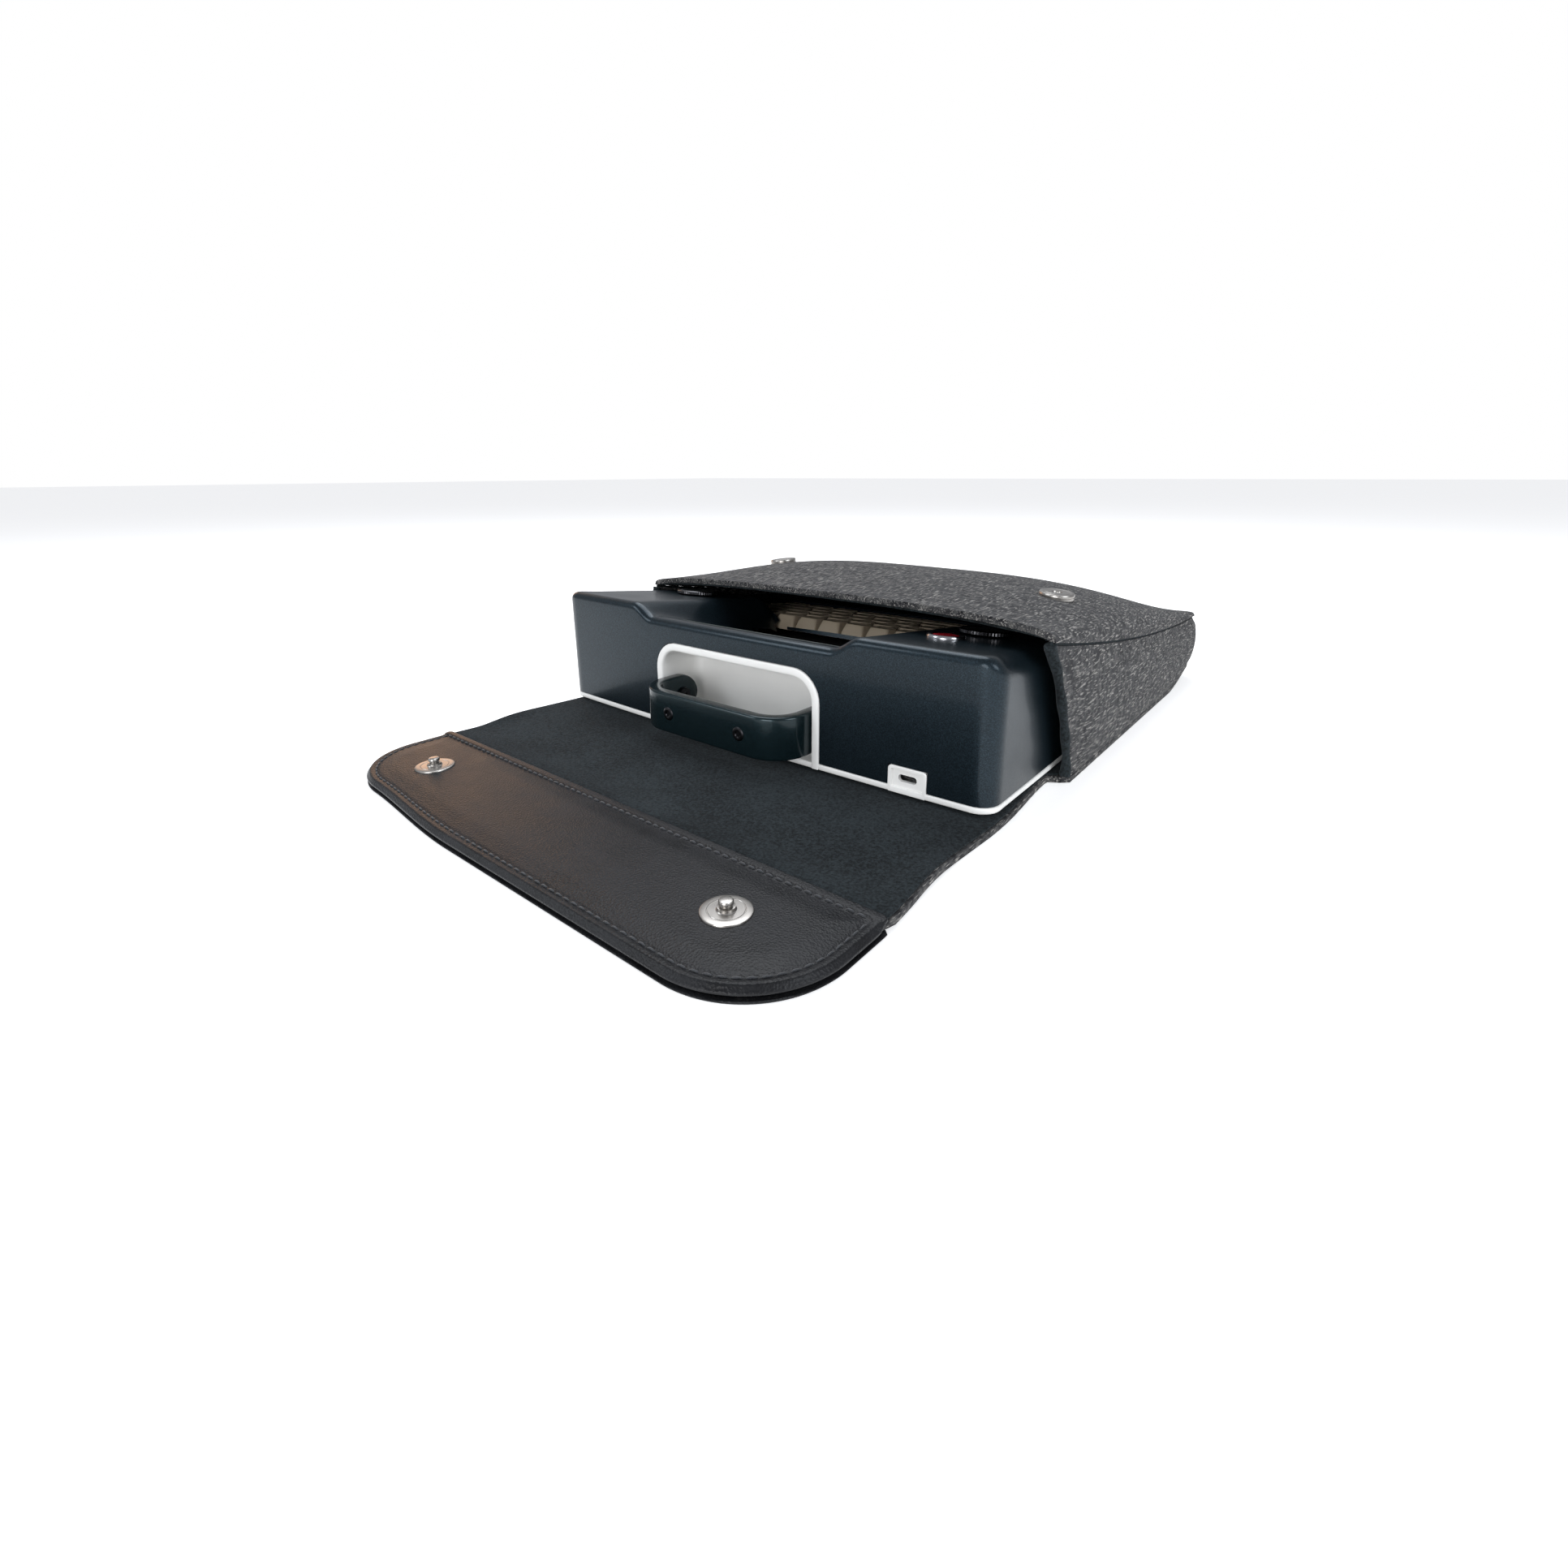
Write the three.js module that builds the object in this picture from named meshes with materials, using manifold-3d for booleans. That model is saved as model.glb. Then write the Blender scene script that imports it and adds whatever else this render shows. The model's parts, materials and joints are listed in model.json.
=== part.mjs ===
import * as THREE from 'three';
import { mergeVertices } from 'three/addons/utils/BufferGeometryUtils.js';
import Module from 'manifold-3d';

// A portable electronic typewriter half drawn out of its felt sleeve, whose flap lies open.
// Millimetres, +Z up, +Y into the sleeve. The origin is at the middle of the ground below the whole part.

const wasm = await Module();
wasm.setup();

// ---- driving dimensions -------------------------------------------------------------------------

const gap = 0.3; // between pieces that touch
const feltThickness = 3;
const liningThickness = 1;
const wall = feltThickness + gap + liningThickness;

// typewriter, in its own frame: x from its middle, y from its handle face, z from its underside
const deviceWidth = 290;
const deviceDepth = 230;
const deviceHeight = 68.5; // shoulders, at the handle face
const deviceX = -2; // it lies nearer the sleeve's left wall
const faceBow = 3.4; // the handle face swells this far at its middle
const topSlope = 0.11; // fall of the shoulders and of the keyboard, per unit of depth
const shoulderEnd = 108; // depth at which the shoulders drop to the keyboard
const keyboardStart = 124;
const keyboardRim = 45; // height of the rim there
const screenDrop = 0.3; // fall of the screen, per unit of depth
const dipDepth = 7; // how far the middle of the top edge lies below the shoulders
const dipHalf = 62; // half width of the dip's floor
const dipRise = 16; // width of the slope up to each shoulder
const frontFillet = 4.5;
const sideFillet = 10;
const cornerRadius = 9;
const shell = 2.5;
const bandHeight = 3; // the base shows as a band all round
const footHeight = 1.3;

// handle and the recess it folds into
const archHalf = 57.5;
const archTop = 49.2;
const archRadius = 16;
const archBorder = 4.5;
const recessDepth = 24;
const handleHalf = 52.3;
const handleHeight = 22;
const handleThickness = 7;
const handleReach = 30; // pivot to the grip's outer face
const handleRadius = 20;
const pivotY = 5;
const pivotZ = 17.5;
const screwSpread = 25; // from the handle's middle to each of its screws

// sleeve, in the part's frame; depths are counted from the typewriter's handle face
const sleeveHalf = 152;
const sleeveBack = 330;
const sleeveCorner = 20;
const mouthBottom = 70;
const mouthMiddle = 56; // the upper lip lies askew: forward on the right, back on the left
const mouthSkew = 21;
const seamBack = 45; // height of the side seam at the closed end
const seamRise = 31; // and how much more at the mouth
const seamSpan = 298; // from the closed end to the right lip
const seamPower = 1.8;
const crownMouth = 10.5; // the upper panel swells this far at its lip
const crownTilt = 0.05; // and by this share more on the right
const crownMiddle = 24;
const bindingWidth = 1.6;

// flap
const flapHalf = 145.5;
const flapFold = -30;
const leatherStart = -88;
const leatherEnd = -152;
const leatherRadius = 40;
const leatherThickness = 1;
const flapShift = 5; // the flap lies this far to the right
const snapHalf = 99.7;
const snapRadius = 9.2;
const studDepth = -119;
const rightSocketX = 118;
const socketInset = 84; // from the upper lip to the middle of a socket

// keyboard
const keyPitch = 19.05;
const keyUnits = 14;
const firstRow = 130;
const keyTop = 43;
const keyHeight = 10;
const keyRows = [
  [1, 1, 1, 1, 1, 1, 1, 1, 1, 1, 1, 1, 2],
  [1.5, 1, 1, 1, 1, 1, 1, 1, 1, 1, 1, 1, 1.5],
  [1.75, 1, 1, 1, 1, 1, 1, 1, 1, 1, 1, 2.25],
  [2.25, 1, 1, 1, 1, 1, 1, 1, 1, 1, 2.75],
];
const spaceRow = [1.25, 1.25, 1.25, 6.25, 1, 1, 1, 1];

// places worked out from those
const yFace = -(sleeveBack + leatherEnd) / 2; // depth 0 in the part's frame
const deviceZ = feltThickness + gap + liningThickness + gap + footHeight;
const half = deviceWidth / 2;

// ---- materials ----------------------------------------------------------------------------------

function finish(color, roughness, metalness = 0) {
  return new THREE.MeshStandardMaterial({ color, roughness, metalness });
}

const felt = finish(0x4a4a4b, 0.95);
const lining = finish(0x171b22, 0.9);
const leather = finish(0x26262b, 0.45);
const snapMetal = finish(0xb4b4b8, 0.3, 1);
const caseMetal = finish(0x1c2a30, 0.35, 0.6);
const handleMetal = finish(0x16242a, 0.28, 0.5);
const whitePlastic = finish(0xeeeeea, 0.4);
const keyPlastic = finish(0xe6dcc8, 0.6);
const darkPlastic = finish(0x15181b, 0.5);
const screwMetal = finish(0x18181a, 0.35, 1);
const chrome = finish(0xd0d0d2, 0.15, 1);
const redPlastic = finish(0xb8202c, 0.3);
const rubber = finish(0x222222, 0.9);
const screenGlass = finish(0x9aa09c, 0.15);
const boardGreen = finish(0x1e4a30, 0.6);
const batteryGrey = finish(0x3a4046, 0.6);

// ---- solids -------------------------------------------------------------------------------------

function toSolid(geometry) {
  const bare = geometry.clone();
  bare.deleteAttribute('normal');
  bare.deleteAttribute('uv');
  const merged = mergeVertices(bare, 1e-4);
  const vertProperties = new Float32Array(merged.attributes.position.array);
  const triVerts = new Uint32Array(merged.index.array);
  return new wasm.Manifold(new wasm.Mesh({ numProp: 3, vertProperties, triVerts }));
}

function toGeometry(solid) {
  const mesh = solid.getMesh();
  const geometry = new THREE.BufferGeometry();
  geometry.setAttribute('position', new THREE.BufferAttribute(new Float32Array(mesh.vertProperties), 3));
  geometry.setIndex(new THREE.BufferAttribute(new Uint32Array(mesh.triVerts), 1));
  geometry.computeVertexNormals();
  return geometry;
}

function cut(geometry, ...tools) {
  return toGeometry(tools.reduce((left, tool) => left.subtract(toSolid(tool)), toSolid(geometry)));
}

function join(geometry, ...more) {
  return toGeometry(more.reduce((whole, piece) => whole.add(toSolid(piece)), toSolid(geometry)));
}

const common = (a, b) => toGeometry(toSolid(a).intersect(toSolid(b)));

// a box between two corners
function block(x0, x1, y0, y1, z0, z1) {
  const box = new THREE.BoxGeometry(x1 - x0, y1 - y0, z1 - z0);
  return box.translate((x0 + x1) / 2, (y0 + y1) / 2, (z0 + z1) / 2);
}

// an outline of the XY plane, drawn up from z0 to z1
function prism(shape, z0, z1, curveSegments = 6) {
  const solid = new THREE.ExtrudeGeometry(shape, { depth: z1 - z0, bevelEnabled: false, curveSegments });
  return solid.translate(0, 0, z0);
}

// an outline of the XZ plane, drawn back from y0 to y1
function backward(shape, y0, y1, curveSegments = 6) {
  const solid = new THREE.ExtrudeGeometry(shape, { depth: y1 - y0, bevelEnabled: false, curveSegments });
  return solid.rotateX(Math.PI / 2).translate(0, y1, 0);
}

// a disc or rod about a line through (x, y), from z0 to z1
function rod(x, y, radius, z0, z1, sides = 20) {
  const cylinder = new THREE.CylinderGeometry(radius, radius, z1 - z0, sides);
  return cylinder.rotateX(Math.PI / 2).translate(x, y, (z0 + z1) / 2);
}

// a closed slab: a box of nu by nv cells whose corners are placed by a function of u, v and w, each 0 to 1
function slab(nu, nv, place) {
  const box = new THREE.BoxGeometry(1, 1, 1, nu, nv, 1);
  const corners = box.attributes.position;
  for (let i = 0; i < corners.count; i += 1) {
    const spot = place(corners.getX(i) + 0.5, corners.getY(i) + 0.5, corners.getZ(i) + 0.5);
    corners.setXYZ(i, spot.x, spot.y, spot.z);
  }
  return facingOut(box);
}

// turns every face over where a placing function has turned the solid inside out
function facingOut(geometry) {
  const index = geometry.index.array;
  const corner = (k) => new THREE.Vector3().fromBufferAttribute(geometry.attributes.position, index[k]);
  let volume = 0;
  for (let k = 0; k < index.length; k += 3) {
    volume += corner(k).dot(corner(k + 1).cross(corner(k + 2)));
  }
  if (volume < 0) {
    for (let k = 0; k < index.length; k += 3) {
      [index[k + 1], index[k + 2]] = [index[k + 2], index[k + 1]];
    }
  }
  return geometry;
}

// 0 before a, 1 after b, and a smooth rise between
const smooth = (value, a, b) => THREE.MathUtils.smoothstep(value, a, b);
const mix = THREE.MathUtils.lerp;

// a rounded box outline between two corners, with one radius for its near corners and one for its far ones
function roundedOutline(x0, x1, y0, y1, near, far) {
  const shape = new THREE.Shape();
  shape.moveTo(x0 + near, y0);
  shape.lineTo(x1 - near, y0);
  if (near > 0) shape.absarc(x1 - near, y0 + near, near, -Math.PI / 2, 0);
  shape.lineTo(x1, y1 - far);
  if (far > 0) shape.absarc(x1 - far, y1 - far, far, 0, Math.PI / 2);
  shape.lineTo(x0 + far, y1);
  if (far > 0) shape.absarc(x0 + far, y1 - far, far, Math.PI / 2, Math.PI);
  shape.lineTo(x0, y0 + near);
  if (near > 0) shape.absarc(x0 + near, y0 + near, near, Math.PI, Math.PI * 1.5);
  return shape;
}

// an arch of the XZ plane: straight sides and a flat top with round corners
function archOutline(halfWidth, bottom, top, radius) {
  return roundedOutline(-halfWidth, halfWidth, bottom, top, 0, radius);
}

const part = new THREE.Group();
const device = new THREE.Group();
device.position.set(deviceX, yFace, deviceZ);
part.add(device);

function add(group, name, geometry, material) {
  const mesh = new THREE.Mesh(geometry, material.clone());
  mesh.name = name;
  group.add(mesh);
  return mesh;
}

// ---- typewriter casing --------------------------------------------------------------------------

const faceY = (x) => -faceBow * (1 - (x / half) ** 2);
const roundDrop = (inset, radius) => {
  const short = Math.max(0, radius - inset);
  return radius - Math.sqrt(radius ** 2 - short ** 2);
};
const deckZ = (y) => keyboardRim - topSlope * (y - keyboardStart);

// height of the casing's upper surface
function casingTop(x, y) {
  const behind = Math.max(0, y - faceY(x));
  const ahead = Math.max(0, deviceDepth - y);
  const plateau = deviceHeight - topSlope * y;
  const shoulder = mix(plateau, deckZ(y), smooth(y, shoulderEnd, keyboardStart));
  const ridge = deviceHeight - dipDepth - topSlope * y;
  const screen = Math.min(ridge, deviceHeight - dipDepth - screenDrop * (y - 6));
  const middle = mix(screen, deckZ(y), smooth(y, keyboardStart - 8, keyboardStart));
  const side = smooth(Math.abs(x), dipHalf, dipHalf + dipRise);
  const flat = mix(middle, shoulder, side);
  const edges = roundDrop(behind, frontFillet) + roundDrop(ahead, frontFillet);
  return flat - edges - roundDrop(half - Math.abs(x), sideFillet);
}

// grid lines: close together where the surface turns
const bothSides = (list) => [...list.map((x) => -x), ...list.slice(0, -1).reverse()].sort((a, b) => a - b);
const casingX = bothSides([145, 144, 141.5, 137, 131, 80, 75, 70, 65, 60, 30, 0]);
const casingY = [0, 0.5, 1.8, 4.5, 8, 30, 60, 90, 108, 112, 116, 120, 124.5, 180, 225.5, 228.5, 230];
const hollowX = bothSides([145, 141, 134, 80, 70, 60, 0]);
const hollowY = [0, 3, 8, 60, 90, 108, 116, 124.5, 226, 230];

function casingSlab(linesX, linesY, inset, drop, bottom) {
  const nx = linesX.length - 1;
  const ny = linesY.length - 1;
  return slab(nx, ny, (u, v, w) => {
    const x = linesX[Math.round(u * nx)] * ((half - inset) / half);
    const t = linesY[Math.round(v * ny)];
    const front = faceY(x) + inset;
    const y = front + (t / deviceDepth) * (deviceDepth - inset - front);
    const top = casingTop(x, y) - drop;
    return new THREE.Vector3(x, y, w > 0.5 ? top : bottom);
  });
}

// plan of the casing: round corners and a bowed handle face
function planOutline(inset, radius) {
  const shape = new THREE.Shape();
  const right = half - inset;
  const back = deviceDepth - inset;
  const steps = 12;
  shape.moveTo(-right + radius, faceY(-right + radius) + inset);
  for (let i = 1; i <= steps; i += 1) {
    const x = mix(-right + radius, right - radius, i / steps);
    shape.lineTo(x, faceY(x) + inset);
  }
  shape.absarc(right - radius, faceY(right - radius) + inset + radius, radius, -Math.PI / 2, 0);
  shape.lineTo(right, back - radius);
  shape.absarc(right - radius, back - radius, radius, 0, Math.PI / 2);
  shape.lineTo(-right + radius, back);
  shape.absarc(-right + radius, back - radius, radius, Math.PI / 2, Math.PI);
  shape.lineTo(-right, faceY(-right + radius) + inset + radius);
  shape.absarc(-right + radius, faceY(-right + radius) + inset + radius, radius, Math.PI, Math.PI * 1.5);
  return shape;
}

const keyboardHalf = (keyUnits * keyPitch) / 2;
const wellHalf = keyboardHalf + 1.2;
const wellStart = firstRow - keyPitch / 2 - 1.2;
const wellEnd = firstRow + keyPitch * 4.5 + 1.2;
const windowHalf = 57;
const windowStart = 16;
const windowEnd = 102;
const knobX = 104;
const knobY = 76;
const knobRadius = 14;
const buttonX = 98;
const buttonY = 43;
const ringRadius = 9.5;
const usbX = 105.6;
const usbHalf = 9.6;
const usbTop = 13;
const usbZ = 7.4;
const postPlaces = [[-128, 16], [128, 16], [-128, 104], [128, 104]];
const plateauZ = (y) => deviceHeight - topSlope * y;

function makeCasing() {
  const upper = casingSlab(casingX, casingY, 0, 0, bandHeight + gap);
  const outer = common(upper, prism(planOutline(-0.05, cornerRadius), 0, 90));
  const lower = casingSlab(hollowX, hollowY, shell, shell, -1);
  const hollow = common(lower, prism(planOutline(shell, cornerRadius - shell), -1, 90));
  const posts = postPlaces.map(([x, y]) => rod(x, y, 4, bandHeight + gap, plateauZ(y) - 2, 12));
  const postHoles = postPlaces.map(([x, y]) => rod(x, y, 1.6, -1, 22, 8));
  const archWay = archOutline(archHalf + gap, -1, archTop + gap, archRadius + gap);
  const arch = backward(archWay, -10, recessDepth + 8);
  return cut(
    join(cut(outer, hollow), ...posts),
    ...postHoles,
    arch,
    block(-wellHalf, wellHalf, wellStart, wellEnd, 10, 80),
    block(-windowHalf - gap, windowHalf + gap, windowStart - gap, windowEnd + gap, 20, 80),
    block(usbX - usbHalf - gap, usbX + usbHalf + gap, -10, 6, -1, usbTop + gap),
    rod(buttonX, buttonY, ringRadius - 2.2, 40, 80, 20),
    rod(-knobX, knobY, 4, 40, 80, 14),
    rod(knobX, knobY, 4, 40, 80, 14),
  );
}

function makeBase() {
  const plate = prism(planOutline(-0.2, cornerRadius + 0.2), 0, bandHeight);
  const recess = backward(archOutline(archHalf, 0, archTop, archRadius), -10, recessDepth + 2.5);
  const tab = block(usbX - usbHalf, usbX + usbHalf, -10, 3.2, 0, usbTop);
  const trimmed = common(join(recess, tab), prism(planOutline(-0.2, cornerRadius + 0.2), -1, 90));
  const slot = roundedOutline(usbX - 4.6, usbX + 4.6, usbZ - 1.7, usbZ + 1.7, 1.6, 1.6);
  const cavity = archOutline(
    archHalf - archBorder,
    bandHeight,
    archTop - archBorder,
    archRadius - archBorder,
  );
  const pivots = sideRod(0, pivotY, pivotZ, 2.3, 2 * archHalf + 2, 14);
  const countersinks = postPlaces.map(([x, y]) => rod(x, y, 3.4, -1, 1.7, 12));
  const screwHoles = postPlaces.map(([x, y]) => rod(x, y, 1.7, -1, 5, 8));
  const footPockets = footPlaces.map(([x, y]) => rod(x, y, 6.4, -1, 0.6, 16));
  return cut(
    join(plate, trimmed),
    backward(cavity, -12, recessDepth),
    backward(slot, -12, 8, 5),
    pivots,
    ...countersinks,
    ...screwHoles,
    ...footPockets,
  );
}

// a rod along X about the point (x, y, z)
function sideRod(x, y, z, radius, length, sides = 16) {
  return new THREE.CylinderGeometry(radius, radius, length, sides).rotateZ(Math.PI / 2).translate(x, y, z);
}

const footPlaces = [[-120, 32], [120, 32], [-120, 205], [120, 205]];

add(device, 'base_tray', makeBase(), whitePlastic);
add(device, 'top_case', makeCasing(), caseMetal);

footPlaces.forEach(([x, y], i) => {
  add(device, `rubber_foot_${i + 1}`, rod(x, y, 6, -footHeight, 0.6 - gap, 16), rubber);
});

postPlaces.forEach(([x, y], i) => {
  const head = rod(x, y, 3, 0.1, 1.4, 12);
  add(device, `case_screw_${i + 1}`, join(head, rod(x, y, 1.3, 1, 18, 8)), screwMetal);
});

// ---- handle -------------------------------------------------------------------------------------

function makeHandle() {
  const front = pivotY - handleReach;
  const bottom = pivotZ - handleHeight / 2;
  const outline = roundedOutline(-handleHalf, handleHalf, front, 60, handleRadius, 0);
  const inside = roundedOutline(
    -handleHalf + handleThickness - 1,
    handleHalf - handleThickness + 1,
    front + handleThickness,
    70,
    handleRadius - 6,
    0,
  );
  const loop = cut(
    prism(outline, bottom, bottom + handleHeight, 5),
    prism(inside, bottom - 1, bottom + 30, 5),
  );
  const side = new THREE.Shape();
  side.moveTo(front - 5, bottom - 1);
  side.lineTo(pivotY, bottom);
  side.absarc(pivotY, pivotZ, handleHeight / 2, -Math.PI / 2, Math.PI / 2);
  side.lineTo(front - 5, bottom + handleHeight + 1);
  const silhouette = new THREE.ExtrudeGeometry(side, { depth: 120, bevelEnabled: false, curveSegments: 8 });
  silhouette.applyMatrix4(new THREE.Matrix4().makeBasis(
    new THREE.Vector3(0, 1, 0),
    new THREE.Vector3(0, 0, 1),
    new THREE.Vector3(1, 0, 0),
  )).translate(-60, 0, 0);
  const pins = sideRod(0, pivotY, pivotZ, 2.7, 130, 14);
  const screws = [-1, 1].map((sign) => frontRod(sign * screwSpread, front - 1, pivotZ, 2.2, 7));
  const heads = [-1, 1].map((sign) => frontRod(sign * screwSpread, front - 1, pivotZ, 3.9, 2.4));
  return cut(common(loop, silhouette), pins, ...screws, ...heads);
}

// a rod along Y, from y to y + length, about a line at x and z
function frontRod(x, y, z, radius, length, sides = 16) {
  return new THREE.CylinderGeometry(radius, radius, length, sides).translate(x, y + length / 2, z);
}

add(device, 'handle', makeHandle(), handleMetal);

[['left', -1], ['right', 1]].forEach(([side, sign]) => {
  const armInside = handleHalf - handleThickness + 1;
  const shaftEnd = archHalf - 0.8;
  const shaft = sideRod(sign * (armInside + shaftEnd) / 2, pivotY, pivotZ, 2, shaftEnd - armInside, 12);
  const head = sideRod(sign * (armInside - gap - 1.1), pivotY, pivotZ, 4, 2.2, 16);
  const neck = sideRod(sign * (armInside - 0.4), pivotY, pivotZ, 2, 2, 12);
  const socket = sideRod(sign * (armInside - gap - 2.2), pivotY, pivotZ, 1.5, 2.4, 6);
  add(device, `handle_pivot_${side}`, cut(join(shaft, neck, head), socket), screwMetal);
  const front = pivotY - handleReach;
  const capHead = frontRod(sign * screwSpread, front - 0.8, pivotZ, 3.6, 1.9);
  const screw = join(capHead, frontRod(sign * screwSpread, front + 0.6, pivotZ, 1.9, 5));
  const hex = frontRod(sign * screwSpread, front - 2, pivotZ, 1.4, 2.2, 6);
  add(device, `handle_screw_${side}`, cut(screw, hex), screwMetal);
});

// ---- power button, knobs, screen ----------------------------------------------------------------

// a group that stands on the shoulders' slope, at a depth along them
function onShoulder(x, y) {
  const group = new THREE.Group();
  group.position.set(x, y, plateauZ(y));
  group.rotation.x = -Math.atan(topSlope);
  device.add(group);
  return group;
}

function lathe(points, sides) {
  const profile = points.map(([r, z]) => new THREE.Vector2(r, z));
  return facingOut(new THREE.LatheGeometry(profile, sides).rotateX(Math.PI / 2));
}

const buttonSeat = onShoulder(buttonX, buttonY);
const ringProfile = [
  [6.9, -2], [6.9, 0.3], [7.2, 1.1], [8.4, 1.5], [9.2, 1.2], [9.5, gap], [7, gap], [7, -2], [6.9, -2],
];
add(buttonSeat, 'power_ring', lathe(ringProfile, 28), chrome);
const buttonProfile = [[0, -4], [6.4, -4], [6.4, 0.6], [5.8, 1.1], [0, 1.4]];
add(buttonSeat, 'power_button', lathe(buttonProfile, 24), redPlastic);

[['left', -1], ['right', 1]].forEach(([side, sign]) => {
  const seat = onShoulder(sign * knobX, knobY);
  const profile = [
    [0, -6], [3.4, -6], [3.4, 0.6], [knobRadius, 0.6], [knobRadius, 2.4], [knobRadius - 0.8, 3], [0, 3],
  ];
  add(seat, `selector_knob_${side}`, lathe(profile, 28), chrome);
});

// a plate that follows the screen's slope
function screenPlate(halfWidth, y0, y1, drop, thickness) {
  const z = (y) => deviceHeight - dipDepth - screenDrop * (y - 6) - drop;
  return slab(1, 1, (u, v, w) => {
    const y = mix(y0, y1, v);
    return new THREE.Vector3(mix(-halfWidth, halfWidth, u), y, z(y) - (1 - w) * thickness);
  });
}

const windowPlate = screenPlate(windowHalf - 1, windowStart + 1, windowEnd - 1, 0.4, 1.6);
add(device, 'screen_window', windowPlate, screenGlass);
const displayPlate = screenPlate(windowHalf - 3, windowStart + 12, windowEnd - 3, 2.4, 1.2);
add(device, 'display_panel', displayPlate, darkPlastic);

// ---- keyboard -----------------------------------------------------------------------------------

const keyboard = new THREE.Group();
keyboard.position.set(0, firstRow, keyTop);
keyboard.rotation.x = -Math.atan(topSlope);
device.add(keyboard);

// one cap: a box whose top is smaller than its foot
function cap(x0, x1, y) {
  const box = block(x0 + 0.4, x1 - 0.4, y - 9.1, y + 9.1, -keyHeight, 0);
  const corners = box.attributes.position;
  const middle = (x0 + x1) / 2;
  for (let i = 0; i < corners.count; i += 1) {
    if (corners.getZ(i) < -1) continue;
    corners.setX(i, corners.getX(i) + Math.sign(middle - corners.getX(i)) * 2.3);
    corners.setY(i, y + (corners.getY(i) - y) * 0.74 + 0.6);
  }
  return box;
}

// the caps of one row, held together by a thin strip under them
function keyRow(widths, y, from) {
  let x = from;
  const caps = widths.map((units) => {
    const left = x;
    x += units * keyPitch;
    return cap(left, x, y);
  });
  return join(block(from + 3, x - 3, y - 3, y + 3, -keyHeight - 0.8, -keyHeight + 0.6), ...caps);
}

keyRows.forEach((widths, i) => {
  add(keyboard, `key_row_${i + 1}`, keyRow(widths, i * keyPitch, -keyboardHalf), keyPlastic);
});

const spaceY = 4 * keyPitch;
const spaceFrom = -keyboardHalf + 3.75 * keyPitch;
const spaceTo = spaceFrom + spaceRow[3] * keyPitch;
add(keyboard, 'key_row_5_left', keyRow(spaceRow.slice(0, 3), spaceY, -keyboardHalf), keyPlastic);
add(keyboard, 'key_row_5_right', keyRow(spaceRow.slice(4), spaceY, spaceTo), keyPlastic);
add(keyboard, 'space_bar', keyRow([spaceRow[3]], spaceY, spaceFrom), keyPlastic);

const plateTop = -keyHeight - 5.2;
const plateHalf = keyboardHalf + 4;
const plate = block(-plateHalf, plateHalf, -keyPitch / 2, keyPitch * 4.5 + 0.5, plateTop - 1.6, plateTop);
add(keyboard, 'key_plate', plate, darkPlastic);

add(device, 'main_board', block(-118, 118, 128, 214, 6.5, 8.1), boardGreen);
add(device, 'battery', block(-50, 50, 34, 94, 4, 15), batteryGrey);
const usbBody = block(usbX - 4.45, usbX + 4.45, 3.6, 11, usbZ - 1.6, usbZ + 1.6);
const usbHollow = block(usbX - 4.1, usbX + 4.1, 3, 10, usbZ - 1.25, usbZ + 1.25);
add(device, 'usb_socket', cut(usbBody, usbHollow), snapMetal);

// ---- sleeve -------------------------------------------------------------------------------------

const depthToY = (depth) => depth + yFace;
const seamZ = (depth) => seamBack + seamRise * Math.max(0, (sleeveBack - depth) / seamSpan) ** seamPower;
const lipDepth = (x) => mouthMiddle - mouthSkew * (x / sleeveHalf);

// the flat bottom panel: wide inside the sleeve, narrower where it runs out to the flap
function bottomOutline(inset) {
  const near = depthToY(flapFold) + gap;
  const mouth = depthToY(mouthBottom) + inset;
  const back = depthToY(sleeveBack) - inset;
  const wide = sleeveHalf - inset;
  const narrow = flapHalf - Math.min(inset, 1);
  const radius = sleeveCorner - inset / 2;
  const shape = new THREE.Shape();
  shape.moveTo(-narrow, near);
  shape.lineTo(narrow, near);
  shape.lineTo(narrow, mouth - 3);
  shape.lineTo(wide, mouth);
  shape.lineTo(wide, back - radius);
  shape.absarc(wide - radius, back - radius, radius, 0, Math.PI / 2);
  shape.lineTo(-wide + radius, back);
  shape.absarc(-wide + radius, back - radius, radius, Math.PI / 2, Math.PI);
  shape.lineTo(-wide, mouth);
  shape.lineTo(-narrow, mouth - 3);
  return shape;
}

add(part, 'bottom_felt', prism(bottomOutline(0), 0, feltThickness), felt);
add(part, 'bottom_lining', prism(bottomOutline(wall + gap), feltThickness + gap, wall), lining);

// plan of the side walls: straight back from the mouth, then round the corner; t runs 0 to 1 and off
// is the distance inwards from the outer face
const wallBottom = 0.1;
const backSpan = 2 * (sleeveHalf - sleeveCorner);
const straight = (depth) => sleeveBack - sleeveCorner - depth;

// a point on one side wall: t along it, rise from its foot to its seam, off inwards from its outer face
function gussetPoint(sign, t, rise, off, mouth) {
  const turn = 0.86;
  const bulge = 1.6 * Math.sin(Math.PI * rise) * (1 - smooth(t, 0.7, 1));
  const out = sleeveHalf - off - wallBottom + bulge * 0.8;
  let x = sign * out;
  let depth = mix(mouth, mouth + straight(mouth), Math.min(1, t / turn));
  if (t > turn) {
    const angle = ((t - turn) / (1 - turn)) * Math.PI * 0.5;
    const radius = sleeveCorner - off - wallBottom;
    x = sign * (sleeveHalf - sleeveCorner + radius * Math.cos(angle));
    depth = sleeveBack - sleeveCorner + radius * Math.sin(angle);
  }
  const foot = feltThickness + gap;
  return new THREE.Vector3(x, depthToY(depth), mix(foot, seamZ(depth) - feltThickness - gap, rise));
}

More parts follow.
